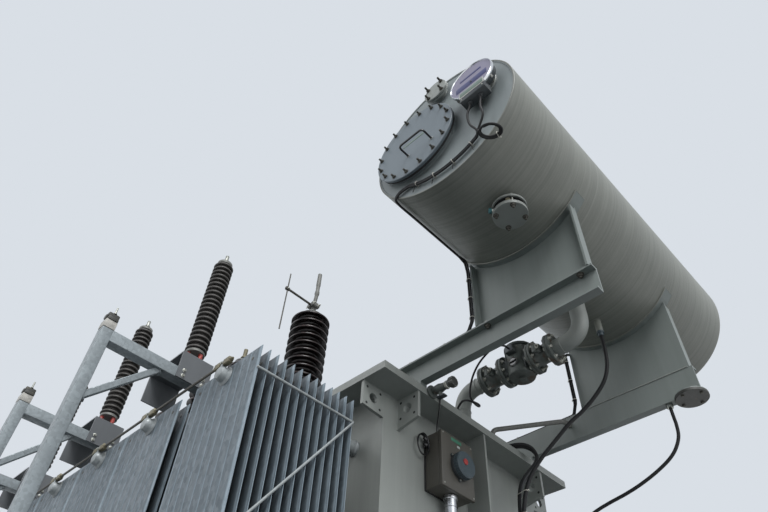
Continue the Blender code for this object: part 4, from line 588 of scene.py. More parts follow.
hoses = {  # route points in metres, from the exit to the other end
    "vent_hose": {"radius": 0.011, "stiffness": "medium", "knots": [
        (2.507, 0.240, 3.3517), (2.507, 0.240, 3.2517), (2.493, 0.240, 3.120), (2.456, 0.240, 3.037), (2.380, 0.240, 2.965),
        (2.289, 0.235, 2.905), (2.215, 0.218, 2.858), (2.115, 0.203, 2.780), (2.023, 0.185, 2.700), (1.958, 0.168, 2.620),
        (1.926, 0.150, 2.540), (1.908, 0.134, 2.440), (1.895, 0.112, 2.250), (1.8906, 0.1033, 2.080), (1.8906, 0.1033, 1.900),
        (1.8906, 0.1033, 1.8403)]},
    "far_hose": {"radius": 0.009, "stiffness": "medium", "knots": [
        (2.661, 0.506, 2.9023), (2.661, 0.506, 2.8423), (2.6609, 0.5062, 2.7982), (2.6513, 0.5059, 2.7353),
        (2.62, 0.5041, 2.6797), (2.5796, 0.5027, 2.6412), (2.5023, 0.5018, 2.5994), (2.3975, 0.5003, 2.5597),
        (2.3046, 0.5001, 2.5358), (2.2022, 0.4996, 2.5173), (2.1334, 0.4926, 2.4976), (2.0658, 0.4719, 2.4606),
        (2.0097, 0.4408, 2.4129), (1.9775, 0.4114, 2.3663), (1.9582, 0.3685, 2.3018), (1.9497, 0.3189, 2.22),
        (1.9442, 0.285, 2.1391), (1.9443, 0.2578, 2.0387), (1.9464, 0.2410, 1.95), (1.9466, 0.2385, 1.90),
        (1.9466, 0.2385, 1.8403)]},
    "relay_lead": {"radius": 0.006, "stiffness": "limp", "knots": [
        (2.0954, -0.1083, 3.2373), (2.0954, -0.124, 3.2373), (2.0935, -0.14, 3.2371), (2.0806, -0.1597, 3.2363),
        (2.0595, -0.1703, 3.2357), (2.0121, -0.1694, 3.2322), (1.9366, -0.1569, 3.2104), (1.8899, -0.1481, 3.1817),
        (1.8485, -0.14, 3.1341), (1.822, -0.1326, 3.0769), (1.8147, -0.1268, 3.0221), (1.825, -0.1175, 2.990),
        (1.848, -0.1160, 2.957), (1.864, -0.1205, 2.943), (1.878, -0.1345, 2.9345), (1.883, -0.1520, 2.9320),
        (1.878, -0.1695, 2.9345), (1.864, -0.1835, 2.943), (1.846, -0.1880, 2.954), (1.822, -0.1850, 2.968),
        (1.797, -0.1770, 2.979), (1.771, -0.165, 2.981), (1.748, -0.158, 2.969), (1.7365, -0.155, 2.948),
        (1.735, -0.155, 2.9303), (1.735, -0.155, 2.9126)]},
    "cover_lead_1": {"radius": 0.010, "stiffness": "limp", "knots": [
        (1.7003, 0.275, 2.9148), (1.7353, 0.275, 2.9148), (1.7801, 0.2812, 2.9145), (1.8243, 0.2996, 2.914),
        (1.856, 0.3231, 2.9087), (1.8802, 0.3482, 2.8895), (1.8909, 0.3612, 2.8625), (1.8945, 0.3628, 2.839),
        (1.8934, 0.3446, 2.795), (1.8875, 0.2871, 2.7283), (1.8821, 0.2177, 2.6507), (1.8779, 0.1787, 2.5905),
        (1.8742, 0.1592, 2.5212), (1.872, 0.1503, 2.4255), (1.8744, 0.149, 2.3052), (1.8786, 0.1501, 2.1849),
        (1.8848, 0.1518, 2.0728), (1.8903, 0.1535, 1.9526), (1.8906, 0.1537, 1.89), (1.8906, 0.1537, 1.8403)]},
    "cover_lead_2": {"radius": 0.010, "stiffness": "limp", "knots": [
        (1.7003, 0.305, 2.9148), (1.7353, 0.305, 2.9148), (1.7801, 0.3109, 2.9145), (1.8097, 0.3228, 2.9139),
        (1.8394, 0.3493, 2.9104), (1.8646, 0.3746, 2.8926), (1.8768, 0.3886, 2.8668), (1.8823, 0.3913, 2.8357),
        (1.8822, 0.3811, 2.8055), (1.8777, 0.3309, 2.7434), (1.8634, 0.272, 2.6793), (1.8585, 0.2222, 2.6166),
        (1.8549, 0.1975, 2.5577), (1.851, 0.1832, 2.4709), (1.8539, 0.1783, 2.3748), (1.8623, 0.178, 2.2628),
        (1.872, 0.1836, 2.1511), (1.8838, 0.1962, 2.0401), (1.8905, 0.2038, 1.9446), (1.8906, 0.2041, 1.89),
        (1.8906, 0.2041, 1.8403)]},
}


def makeHoses():
    for name, hose in hoses.items():
        path = smoothPath(hose["knots"], hose["radius"] * 1.6)
        piece = makePiece(f"{name}_tube", [(tube(path, hose["radius"], 16), rubber)], [name])


makeHoses()
print("hoses laid")


# Finishes of the plates that keep their solids

finishes = {
    paint: ["tank", "tank_cover", "skid_base", "control_cabinet"],
    shadedSaddlePaint: ["saddle_near", "saddle_far", "beam_near", "beam_far"],
    shadedBracketPaint: [f"arrester_bracket_{n}" for n in (1, 2, 3)],
}
for finish, names in finishes.items():
    for name in names:
        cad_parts[name].data.materials.clear()
        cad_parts[name].data.materials.append(finish)


# Conservator

drum = {"x": 2.507, "z": 3.907, "radius": 0.475, "inner": 0.467, "half": 1.151, "inset": 0.0045, "plate": 0.012, "weld": 0.004,
        "segments": 220, "padEdge": 0.0425, "padReach": 52.5, "padWeld": 0.0042, "saddleY": 0.486, "ventY": 0.24,
        "vent": 0.020, "ventLow": 3.353, "leadAngle": -43.98, "blockY": 0.95, "block": 0.018}


def aroundDrum(angle, radius, y):  # a place by its angle from straight down and its distance from the drum's axis
    turn = np.radians(angle)
    return (drum["x"] + radius * math.sin(turn), y, drum["z"] - radius * math.cos(turn))


def makeConservator():
    d = drum
    radius, inner, half, vent = d["radius"], d["inner"], d["half"], (d["x"], d["ventY"])
    wall = [(radius - 0.0015, -half), (radius, -half + 0.0015), (radius, half - 0.0015), (radius - 0.0015, half),
            (inner, half), (inner, -half)]
    coupling = [(0.0112, 3.352), (0.021, 3.3515), (0.021, 3.339), (0.016, 3.337), (0.015, 3.322), (0.0112, 3.321)]
    low = d["z"] - radius
    block = [aroundDrum(d["leadAngle"], radius + out, d["blockY"]) for out in (-0.003, 0.036)]
    shapes = [  # the shell, its vent nozzle with the hose coupling, and the block where the far lead starts
        (turned(wall, (d["x"], 0.0, d["z"]), axisY, d["segments"], closed=True), shadedDrumPaint),
        (rod((*vent, low + 0.004), (*vent, d["ventLow"]), d["vent"], 28), shadedDrumPaint),
        (ringWeld((*vent, low), up, 0.0215, 40, 0.0035), shadedDrumPaint),
        (turned(coupling, (*vent, 0), segments=24, closed=True), slateBlue),
        (rod(*block, d["block"], 20, 0.003), shadedDrumPaint),
    ]
    for side in (-1, 1):  # weld beads where the saddles' pads meet the shell
        for way in (-1, 1):
            y = side * d["saddleY"] + way * d["padEdge"]
            along = [aroundDrum(a, radius + 0.003, y) for a in np.linspace(-d["padReach"], d["padReach"], 90)]
            ends = [aroundDrum(way * d["padReach"], radius + 0.003, side * d["saddleY"] + edge)
                    for edge in (-d["padEdge"], d["padEdge"])]
            shapes += dressed(shadedDrumPaint, bead(along, d["padWeld"]), lineWeld(*ends, d["padWeld"], 0.006))
    makePiece("conservator_drum", shapes, ["conservator_shell"], 30.0)
    for label, side in (("near", -1), ("far", 1)):
        plate = disc(inner - 0.0005, 0.0, d["plate"] - d["inset"], 0.001,
                     place=(d["x"], side * (half - d["plate"]), d["z"]), direction=(0, side, 0), segments=160)
        weld = ringWeld((d["x"], side * (half - d["inset"]), d["z"]), axisY, inner - 0.0025, 260, d["weld"])
        makePiece(f"conservator_plate_{label}", dressed(skyTintedPlatePaint, plate, weld),
                  [f"conservator_end_{label}"], 30.0)


def endDisc(spot, y, radius, thick, edge=0.0015, segments=64):  # a round plate that stands out of the near end from y
    return disc(radius, 0.0, thick, edge, place=(spot["x"], y, spot["z"]), direction=nearward, segments=segments)


manhole = {"x": 2.345, "z": 3.883, "ring": 0.262, "lid": 0.272, "ringEnd": -1.1813, "lidEnd": -1.2013, "bolts": 16,
           "boltCircle": 0.2456, "bolt": 0.0115, "stud": 0.016, "firstBolt": 0.196, "gripX": 2.39, "gripHalf": 0.0825,
           "gripZ": 3.78, "gripY": -1.2773, "grip": 0.0058, "gripBend": 0.022, "stripHalf": 0.075, "strip": (3.888, 3.904)}


def makeManhole():
    m, face = manhole, -drum["half"] + drum["inset"]
    centre = lambda y: (m["x"], y, m["z"])
    root = m["lidEnd"] + 0.004
    route = [(m["gripX"] + side * m["gripHalf"], y, m["gripZ"])
             for side, y in ((-1, root), (-1, m["gripY"]), (1, m["gripY"]), (1, root))]
    shapes = [
        (endDisc(m, face, m["ring"] - 0.012, face - m["ringEnd"] - 0.010, 0.001, 96), skyTintedPlatePaint),
        (ringWeld(centre(face), nearward, m["ring"] - 0.010, 180, 0.004), skyTintedPlatePaint),
        # The ring between the lid and the plate is painted black: the gasket there, and painted shade of the gap under
        # the lid
        (endDisc(m, m["ringEnd"] + 0.0104, m["lid"] - 0.004, 0.0140, 0.002, 112), gasket),
        (endDisc(m, m["ringEnd"] - 0.0035, m["lid"], 0.0165, 0.0025, 112), shadedSkyLidPaint),
        (boltRing(m["bolt"], centre(m["lidEnd"]), nearward, m["boltCircle"], m["bolts"], m["firstBolt"], m["stud"]),
         darkBolt),
        (tube(bentPath(route, m["gripBend"]), m["grip"], 14), blackEnamel),
        (softBox((m["x"] - m["stripHalf"], m["lidEnd"] - 0.0012, m["strip"][0]),
                 (m["x"] + m["stripHalf"], m["lidEnd"] + 0.001, m["strip"][1]), 0.0006), greenGreyStrip),
    ]
    for x in (route[0][0], route[-1][0]):
        shapes.append((ringWeld((x, m["lidEnd"], m["gripZ"]), nearward, 0.009, 20, 0.003), paint))
    makePiece("manhole_lid", shapes, ["manhole_cover"])


gauge = {"x": 2.777, "z": 3.996, "radius": 0.138, "boss": 0.086, "mid": -1.1773, "front": -1.2353, "boxHalf": 0.078,
         "boxLow": 3.820, "boxTop": 3.906, "boxFront": -1.2413, "hubDrop": 0.030, "window": (0.100, 0.024),
         # "scale" is the dark band painted as shade across the dial's upper part
         "scale": (0.070, 0.034, 0.052), "glands": (-0.0375, 0.030), "glandBack": 0.031, "screws": (35, 145, 215, 325)}


def makeGauge():
    g, face = gauge, -drum["half"] + drum["inset"]
    centre = lambda y: (g["x"], y, g["z"])
    depth, radius, front, boxFront = g["mid"] - g["front"], g["radius"], g["front"], g["boxFront"]
    casing = [(radius * 0.80, 0.0), (radius * 0.93, 0.004), (radius * 0.955, 0.014), (radius * 0.955, depth - 0.020),
              (radius * 0.93, depth - 0.018)]
    rim = [(radius * 0.93, depth - 0.021), (radius * 0.985, depth - 0.021), (radius, depth - 0.017), (radius, depth - 0.004),
           (radius * 0.985, depth), (radius * 0.965, depth), (radius * 0.955, depth - 0.005)]
    low, top, hubZ = g["boxLow"], g["boxTop"], g["z"] - g["hubDrop"]
    x0, x1 = g["x"] - g["boxHalf"], g["x"] + g["boxHalf"]
    (wide, high), (shadeBandHalf, shadeBandLow, shadeBandTop) = g["window"], g["scale"]
    shapes = [
        (endDisc(g, face, g["boss"], face - g["mid"] + 0.004, 0.001), paint),
        (endDisc(g, face, g["boss"] + 0.022, 0.011, 0.002), paint),
        (boltRing(0.008, centre(face - 0.011), nearward, g["boss"] + 0.012, 8, 0.39, 0.004), zincBolt),
        (turned(casing, centre(g["mid"]), nearward, 80), darkCasing),
        (turned(rim, centre(g["mid"]), nearward, 96, closed=True), chrome),
        (disc(radius * 0.957, depth - 0.016, depth - 0.005, 0.0006, place=centre(g["mid"]), direction=nearward, segments=96),
         dialViolet),
        # A dark band across the dial above the window: painted shade where the dial's top shows darker
        (softBox((g["x"] - shadeBandHalf, front + 0.0042, g["z"] + shadeBandLow),
                 (g["x"] + shadeBandHalf, front + 0.0058, g["z"] + shadeBandTop), 0.0006), dialDark),
        (softBox((g["x"] - wide, front + 0.0040, hubZ - high), (g["x"] + wide, front + 0.0062, hubZ + high), 0.001), dialDark),
        (rod((g["x"], front + 0.001, hubZ), (g["x"], front + 0.006, hubZ), 0.007, 20), darkCasing),
        (softBox((x0, boxFront + 0.002, low), (x1, g["mid"] + 0.003, top), 0.004), darkCasing),
        (softBox((x0 - 0.001, boxFront + 0.0002, low + 0.034), (x1 + 0.001, boxFront + 0.004, top - 0.002), 0.0012), paleTrim),
        (softBox((x0 + 0.006, boxFront - 0.0006, low + 0.040), (x1 - 0.006, boxFront + 0.0012, top - 0.008), 0.0005),
         greenGreyStrip),
        (boltRow(0.004, [(x, boxFront + 0.002, low + 0.018) for x in (x0 + 0.012, x1 - 0.012)], nearward), zincBolt),
    ]
    gland = [(0.0105, 0.0), (0.0125, -0.002), (0.0125, -0.010), (0.0095, -0.012), (0.0085, -0.021), (0.0055, -0.023)]
    for across in g["glands"]:  # cable glands in the box's underside
        shapes.append((turned(gland, (g["x"] + across, front + g["glandBack"], low + 0.001), segments=18), darkCasing))
    for turn in np.radians(g["screws"]):  # screws that hold the rim
        x, z = g["x"] + 0.93 * radius * math.cos(turn), g["z"] + 0.93 * radius * math.sin(turn)
        shapes.append((rod((x, front + 0.019, z), (x, front + 0.039, z), 0.009, 12), paleTrim))
    makePiece("oil_level_gauge", shapes, ["level_gauge"])


nozzle = {"x": 2.507, "z": 4.275, "neck": 0.048, "flange": 0.080, "thick": 0.0115, "gasket": 0.003, "base": -1.1703,
          "bolt": 0.0125, "stud": 0.022, "boltReach": 0.0475}


def makeBlankNozzle():
    n, face = nozzle, -drum["half"] + drum["inset"]
    seam, blank = n["base"] - n["thick"], n["base"] - n["thick"] - n["gasket"]
    end, reach = blank - n["thick"], n["boltReach"]
    corners = [(n["x"] + sx * reach, end, n["z"] + sz * reach) for sx in (-1, 1) for sz in (-1, 1)]
    shapes = [
        (endDisc(n, face, n["neck"], face - n["base"], 0.001, 48), paint),
        (ringWeld((n["x"], face, n["z"]), nearward, n["neck"] + 0.0015, 60, 0.0035), paint),
        (endDisc(n, n["base"], n["flange"], n["thick"]), paint),
        (endDisc(n, seam, n["flange"] - 0.004, n["gasket"], 0.0004), gasket),
        (endDisc(n, blank, n["flange"], n["thick"]), paint),
        (boltRow(n["bolt"], corners, nearward, n["stud"]), darkBolt),
    ]
    makePiece("blank_flange", shapes, ["blank_nozzle"])


sump = {"x": 2.635, "y": -0.804, "neck": 0.045, "flange": 0.088, "seat": 0.080, "wafer": 0.068, "boltCircle": 0.0725,
        "bolt": 0.013, "stem": 0.0065, "levels": (3.3546, 3.3756, 3.3771, 3.4081, 3.4096, 3.4236), "spindleZ": 3.3926}


def makeSump():
    x, y, z = sump["x"], sump["y"], sump["spindleZ"]
    blankLow, blankTop, waferLow, waferTop, flangeLow, flangeTop = sump["levels"]
    underShell = lambda at: drum["z"] - math.sqrt(drum["radius"] ** 2 - (at - drum["x"]) ** 2)
    ring = lambda radius, low, high, edge=0.0015: disc(radius, low, high, edge, place=(x, y, 0), segments=60)
    reach = sump["boltCircle"]
    spots = [(x + reach * math.cos(a), y + reach * math.sin(a)) for a in np.radians([45, 135, 225, 315])]
    seam = [(p[0], p[1], underShell(p[0])) for p in ringPath((x, y, 0), up, sump["neck"] + 0.0015, 80)]
    spindle = lambda *ends: [(x + dx, y + dy, z) for dx, dy in ends]
    shapes = [
        (rod((x, y, flangeTop + 0.0004), (x, y, underShell(x) + 0.022), sump["neck"], 48), paint),
        (bead(seam, 0.004), paint),
        (ring(sump["flange"], flangeLow, flangeTop), paint),
        (ring(sump["seat"], waferTop, flangeLow, 0.0003), gasket),
        (ring(sump["wafer"], waferLow, waferTop, 0.004), castIron),
        (ring(sump["seat"], blankTop, waferLow, 0.0003), gasket),
        (ring(sump["flange"], blankLow, blankTop), paint),
        (boltRow(sump["bolt"], [(*spot, blankLow) for spot in spots], down, 0.012), darkBolt),
        (boltRow(sump["bolt"], [(*spot, flangeTop) for spot in spots], up, 0.008), zincBolt),
        (joined([rod((*spot, waferLow - 0.0051), (*spot, waferTop + 0.0049), sump["stem"], 12) for spot in spots]), zincBolt),
        (rod(*spindle((-0.040, -0.038), (-0.066, -0.063)), 0.0125, 20), zincBolt),
        (rod(*spindle((-0.064, -0.061), (-0.077, -0.073)), 0.014, 20, 0.003), tealCap),
        (rod(*spindle((0.030, -0.056), (0.038, -0.071)), 0.012, 20), brass),
    ]
    makePiece("sump_drain", shapes, ["sump_valve"])


makeConservator()
makeManhole()
makeGauge()
makeBlankNozzle()
makeSump()
print("conservator, manhole, gauge and drain made")


# Relay line

line = {"z": 3.1773, "pipe": 0.047, "flange": 0.092, "thick": 0.016, "bolts": 8, "bolt": 0.0115, "boltCircle": 0.0745,
        "firstBolt": 0.39, "footX": 1.6598, "starts": (1.8618, 1.9963, 2.1946, 2.3159), "bend": 0.130, "foot": 2.8926}


def flangeDisc(x, radius, low, high, edge=0.0015):
    return disc(radius, low, high, edge, place=(x, 0.0, line["z"]), direction=axisX, segments=64)


def flangeBolts(x, way, stud=0.0):
    place, direction = (x, 0.0, line["z"]), (way, 0.0, 0.0)
    return boltRing(line["bolt"], place, direction, line["boltCircle"], line["bolts"], line["firstBolt"], stud)


def flangePair(x):  # two flanges that meet at x with a gasket between them and bolts through both
    t, wide = line["thick"], line["flange"]
    return [(flangeDisc(x, wide, -t, -0.001), castIron), (flangeDisc(x, wide - 0.005, -0.0015, 0.0015, 0.0003), gasket),
            (flangeDisc(x, wide, 0.001, t), castIron),
            *dressed(zincBolt, flangeBolts(x - t, -1.0), flangeBolts(x + t, 1.0, 0.006))]


def hub(start, end, radius, waist):  # a casting's neck, full at its flanges and drawn in at the middle
    share = np.linspace(0, 1, 15)
    width = waist + (radius - waist) * np.abs(share * 2 - 1) ** 2.5
    return turned(list(zip(width, share * (end - start))), (start, 0.0, line["z"]), axisX, 48)


def makePipes():
    x0, _, _, x3 = line["starts"]
    pipe, z, foot = line["pipe"], line["z"], (line["footX"], 0.0, line["foot"])
    footTop = (foot[0], 0.0, foot[2] + line["thick"])
    path = bentPath([foot, (foot[0], 0.0, z), (x0 - 0.001, 0.0, z)], line["bend"], 22)
    shapes = [
        (tube(path, pipe, 48), paint),
        (disc(line["flange"], 0.0, line["thick"], 0.0015, place=foot, segments=64), paint),
        (boltRing(line["bolt"], footTop, up, line["boltCircle"], line["bolts"], line["firstBolt"]), zincBolt),
        *dressed(paint, ringWeld(footTop, up, pipe + 0.001, 50, 0.004), ringWeld(path[1], up, pipe + 0.0005, 50, 0.003),
                 ringWeld(path[-2], axisX, pipe + 0.0005, 50, 0.003)),
    ]
    makePiece("lower_relay_pipe", shapes, ["relay_pipe_lower"])
    top = drum["z"] - drum["radius"] + 0.004
    path = bentPath([(x3 + 0.001, 0.0, z), (drum["x"], 0.0, z), (drum["x"], 0.0, top)], line["bend"], 22)
    shapes = dressed(paint, tube(path, pipe, 48), ringWeld((drum["x"], 0, top - 0.003), up, pipe + 0.002, 60, 0.0045),
                     ringWeld(path[1], axisX, pipe + 0.0005, 50, 0.003))
    makePiece("upper_relay_pipe", shapes, ["relay_pipe_upper"])


valve = {"ends": 0.066, "waist": 0.055, "bonnet": 0.024, "spindle": 0.014, "reach": 0.110, "handle": (0.010, 0.055, 0.014)}


def makeValves():
    x0, x1, x2, x3 = line["starts"]
    t, z, (halfWide, handleLow, handleTop) = line["thick"], line["z"], valve["handle"]
    for name, start, end in (("inlet_valve", x0, x1), ("relay_valve", x2, x3)):
        x = (start + end) / 2
        out = lambda y: (x, y, z)
        shapes = [
            (hub(start + t - 0.001, end - t + 0.001, valve["ends"], valve["waist"]), castIron),
            (rod(out(-0.050), out(-0.082), valve["bonnet"], 28, 0.003), castIron),
            (rod(out(-0.080), out(-valve["reach"]), valve["spindle"], 24), zincBolt),
            (turned([(0.0115, 0.110), (0.0115, 0.122), (0.009, 0.125)], out(0), nearward, 6), darkBolt),
            (rod(out(-0.086), out(-0.092), 0.020, 6, 0.001), zincBolt),
            (softBox((x - halfWide, -0.1215, z - handleLow), (x + halfWide, -0.1135, z + handleTop), 0.003), castIron),
        ]
        makePiece(f"{name}_body", shapes, [name])


relay = {"ends": 0.068, "waist": 0.056, "lidBolts": 0.0765, "lidTop": 3.2905, "glassZ": 3.158, "glassY": 0.078, "glass": 0.023,
         "frame": 0.031, "box": ((0.028, -0.108, 3.2143), (0.028, -0.058, 3.2603)), "ribs": (40, 140), "ribRadius": 0.079,
         "body": [(0.060, 3.0923), (0.074, 3.0953), (0.078, 3.104), (0.078, 3.2745), (0.074, 3.2775)],
         "lid": [(0.080, 3.2763), (0.086, 3.2793), (0.086, 3.2925), (0.080, 3.2945), (0.064, 3.2985), (0.060, 3.3083)]}


def makeRelay():
    x0, x1, x2, x3 = line["starts"]
    x, t, q = (x1 + x2) / 2, line["thick"], relay
    spin = lambda profile, segments: turned(profile, (x, 0, 0), up, segments)
    (half, y0, z0), (_, y1, z1) = q["box"]
    shapes = [
        (hub(x1 + t - 0.001, x2 - t + 0.001, q["ends"], q["waist"]), relayCast),
        (spin(q["body"], 48), castIron), (spin(q["lid"], 56), relayCast),
        (boltRing(0.008, (x, 0.0, q["lidTop"]), up, q["lidBolts"], 8, 0.2), zincBolt),
        (rod((x, 0.0, 3.0743), (x, 0.0, 3.0963), 0.018, 24), castIron),
        (spin([(0.013, 3.0745), (0.015, 3.0755), (0.015, 3.0823)], 6), darkBolt),
        (softBox((x - half, y0, z0), (x + half, y1, z1), 0.004), relayCast),
        (softBox((x - half + 0.003, y0 - 0.0015, z0 + 0.003), (x + half - 0.003, y0 + 0.002, z1 - 0.003), 0.0015), darkCasing),
    ]
    for side in (-1, 1):  # a sight glass in a bolted frame on each side, and ribs that stiffen the body
        spot = lambda out: (x, side * (q["glassY"] + out), q["glassZ"])
        sight = dict(place=spot(-0.006), direction=(0, side, 0), segments=36)
        shapes += [(disc(q["frame"], 0.0, 0.010, 0.002, **sight), relayCast),
                   (disc(q["glass"], 0.009, 0.0125, 0.001, **sight), sightGlass),
                   (boltRing(0.0045, spot(0.004), (0, side, 0), 0.0275, 6, 0.3), darkBolt)]
        for turn in np.radians(q["ribs"]) * side:
            foot = (x + q["ribRadius"] * math.cos(turn), q["ribRadius"] * math.sin(turn))
            shapes.append((rod((*foot, 3.11), (*foot, 3.27), 0.006, 12), relayCast))
    makePiece("gas_relay_body", shapes + flangePair(x1) + flangePair(x2), ["gas_relay"])
    makePiece("relay_end_flanges", flangePair(x0) + flangePair(x3))


# Radiators

radiator = {"centres": (1.45, 0.823, 0.318, -0.187, -0.692, -1.197), "half": 0.25, "low": 0.498, "top": 2.648, "inner": 0.903,
            "pitch": 0.0457, "count": 13, "flutes": 8, "edge": 0.012, "thick": 0.0065, "plain": 0.62, "valley": 0.0022,
            "seam": 0.0016, "band": 0.112, "headers": (2.598, 0.548), "wall": 0.6553, "end": 1.5014, "pipe": 0.034,
            "mark": 0.052, "braceZ": 2.529, "braceSlope": 1.28, "brace": 0.006}


def panelShape():
    # A flat tube round one panel: half the thickness follows a row of pillows across it, flat in the bands at both ends
    r = radiator
    steps = np.array([0.0, 0.07, 0.2, 0.5, 0.8, 0.93])
    share = np.concatenate([[0.0], *[(k + steps) / r["flutes"] for k in range(r["flutes"])], [1.0, 1.0]])
    across = -r["half"] + r["edge"] + share * 2 * (r["half"] - r["edge"])
    across[0], across[-1] = -r["half"], r["half"]
    pillow = 1 - np.abs(2 * ((share * r["flutes"]) % 1.0) - 1) ** 6
    fluted = r["valley"] + (r["thick"] - r["valley"]) * pillow
    plain = np.full(len(share), r["thick"] * r["plain"])
    for edge in (fluted, plain):
        edge[0] = edge[-1] = r["seam"]
        edge[1] = edge[-2] = r["seam"] * 1.25
    rises = np.array([0.0, 0.008, 0.014, r["band"], r["band"] + 0.018])
    amounts = np.array([0.0, 0.0, 0.0, 0.0, 1.0])
    shut = np.array([0.0, 0.0, 1.0, 1.0, 1.0])
    rises = np.concatenate([rises, r["top"] - r["low"] - rises[::-1]])
    amounts, shut = np.concatenate([amounts, amounts[::-1]]), np.concatenate([shut, shut[::-1]])
    half = plain + amounts[:, None] * (fluted - plain)
    half = r["seam"] + shut[:, None] * (half - r["seam"])
    x = np.concatenate([across, across[::-1]])
    y = np.concatenate([half, -half[:, ::-1]], 1)
    return gridShape(np.stack([np.repeat(x[None], len(rises), 0), y, np.repeat((r["low"] + rises)[:, None], len(x), 1)], -1))


def headerShape(z, side):
    # A pipe from the tank's wall through all the panels, swelling to a pressed collar at each of them
    r = radiator
    wall, inner, pipe = r["wall"], r["inner"], r["pipe"]
    profile = [(0.042, wall), (0.042, wall + 0.010), (pipe, wall + 0.018), (pipe, inner - 0.110), (0.056, inner - 0.108),
               (0.056, inner - 0.080), (pipe, inner - 0.078)]
    for y in inner + np.arange(r["count"]) * r["pitch"]:
        profile += [(pipe + 0.003, y - 0.016), (0.047, y - 0.0055), (0.047, y + 0.0055), (pipe + 0.003, y + 0.016)]
    profile += [(pipe + 0.002, y + 0.022), (pipe, r["end"] - 0.016), (pipe - 0.005, r["end"] - 0.005), (pipe - 0.016, r["end"])]
    return turned(profile, (0.0, 0.0, z), (0, side, 0), 22)


def paintedPanelLight(points, centre):
    # Painted light for a panel: 1 along the valley lines between its flutes and along its seams, where painted
    # highlights go; below 0 on flanks that lie deep between two panels, where painted shade goes
    r = radiator
    x, span = points[:, 0] - centre, r["half"] - r["edge"]
    inside = np.abs(points[:, 1]) < r["inner"] + (r["count"] - 1) * r["pitch"]
    depth = np.clip((span - np.abs(x)) / 0.05, 0, 1)
    flute = (x + span) / (2 * span) * r["flutes"]
    seam = np.clip((np.abs(x) - r["half"] + 0.010) / 0.004, 0, 1)
    valley = np.maximum(np.clip(1 - np.abs(flute - np.round(flute)) / 0.08, 0, 1), seam)
    return np.where(inside & (depth > 0), -depth, valley)


def makeRadiators():
    r = radiator
    shifted = lambda shape, *spots: copies(shape, [np.array(Matrix.Translation(spot)) for spot in spots])
    dimple = turned([(0.0085, -0.0004), (0.0085, 0.0008), (0.007, 0.0011)], segments=10)
    for label, side in (("left", -1), ("right", 1)):
        rows = side * (r["inner"] + np.arange(r["count"]) * r["pitch"])
        panels = shifted(panelShape(), *[(0, y, 0) for y in rows])
        headers = joined([headerShape(z, side) for z in r["headers"]])
        flangeY = side * (r["inner"] - 0.080)
        bolts = joined([boltRing(0.009, (0, flangeY, z), (0, side, 0), 0.0475, 6, 0.5) for z in r["headers"]])
        marks = [facing((sx * (r["half"] - r["mark"]), y + face * r["thick"] * r["plain"], z), (0, face, 0)) for y in rows
                 for sx in (-1, 1) for z in (r["top"] - r["mark"], r["low"] + r["mark"]) for face in (-1, 1)]
        whole = ((panels, panelZincWithPaintedLight), (headers, headerZinc), (bolts, zincBolt), (copies(dimple, marks), darkBolt))
        for number, x in enumerate(r["centres"], 1):
            shapes = [(shifted(shape, (x, 0, 0)), material) for shape, material in whole]
            if number == 1:  # the bar across the panels' edges, tied to each of them, and the diagonal below it
                at, z = x + r["half"], r["braceZ"]
                first, last = rows[0] - side * 0.0065, rows[-1] + side * 0.0065
                low = z - abs(last - first) * r["braceSlope"]
                rings = [bead(ringPath((at + 0.0015, y, z), axisX, 0.0058, 9), 0.0022, 5) for y in rows]
                shapes += dressed(headerZinc, rod((at + 0.002, first, z), (at + 0.002, last, z), r["brace"], 14),
                                  rod((at + 0.003, first, z), (at + 0.003, last, low), r["brace"] - 0.0002, 14), joined(rings))
            makePiece(f"radiator_panels_{label}_{number}", shapes, [f"radiator_{label}_{number}"], 32.0,
                      lambda points: paintedPanelLight(points, x))


tie = {"y": 1.4824, "z": 2.6503, "rod": 0.0065, "fork": (0.012, 0.058, 0.0125, 0.015), "lug": (2.618, 2.666)}


def makeTies():
    centres, z, (forkStart, forkEnd, forkHalf, forkRise) = radiator["centres"], tie["z"], tie["fork"]
    for label, side in (("left", -1), ("right", 1)):
        y = side * tie["y"]
        shapes = [(rod((centres[0], y, z), (centres[-1], y, z), tie["rod"], 14), darkBolt)]
        for x in centres:
            lug = softBox((x - 0.009, y - 0.010, tie["lug"][0]), (x + 0.009, y + 0.010, tie["lug"][1]), 0.006)
            heads = [facing((x, y + out * 0.0098, z), (0, out, 0)) for out in (-1, 1)]
            shapes += [(lug, headerZinc), (rod((x, y - 0.0184, z), (x, y + 0.0184, z), 0.0055, 14), zincBolt),
                       (copies(hexBolt(0.0080), heads), zincBolt)]
            for way in (-1, 1):  # a forked brass end on each side of the lug, and its nut
                x0, x1 = sorted((x + way * forkStart, x + way * forkEnd))
                shapes += dressed(brass, softBox((x0, y - forkHalf, z - forkRise), (x1, y + forkHalf, z + forkRise), 0.004),
                                  boltRow(0.0105, [(x + way * forkEnd, y, z)], (way, 0, 0), 0.008))
        makePiece(f"bank_tie_{label}", shapes, [f"radiator_tie_{label}"])


makePipes()
makeValves()
makeRelay()
print("relay line made")
makeRadiators()
makeTies()
print("radiators made")


# Insulators

arrester = {"xs": (0.8005, -0.1835, -1.1675), "y": -1.3474, "seat": 3.0629, "sheds": 20, "pitch": 0.036, "radius": 0.063,
            "core": 0.043, "base": 0.075, "feet": (30, 150, 270), "footReach": 0.040,
            "shed": [(0.0, 0.0), (0.03, 0.20), (0.80, 0.17), (0.96, 0.22), (1.0, 0.33), (0.97, 0.46), (0.85, 0.55),
                     (0.12, 0.76), (0.0, 0.86)],
            "post": [(0.0125, 0.0), (0.014, 0.003), (0.0115, 0.010), (0.014, 0.018), (0.0115, 0.026), (0.014, 0.034),
                     (0.0115, 0.042), (0.013, 0.055)]}


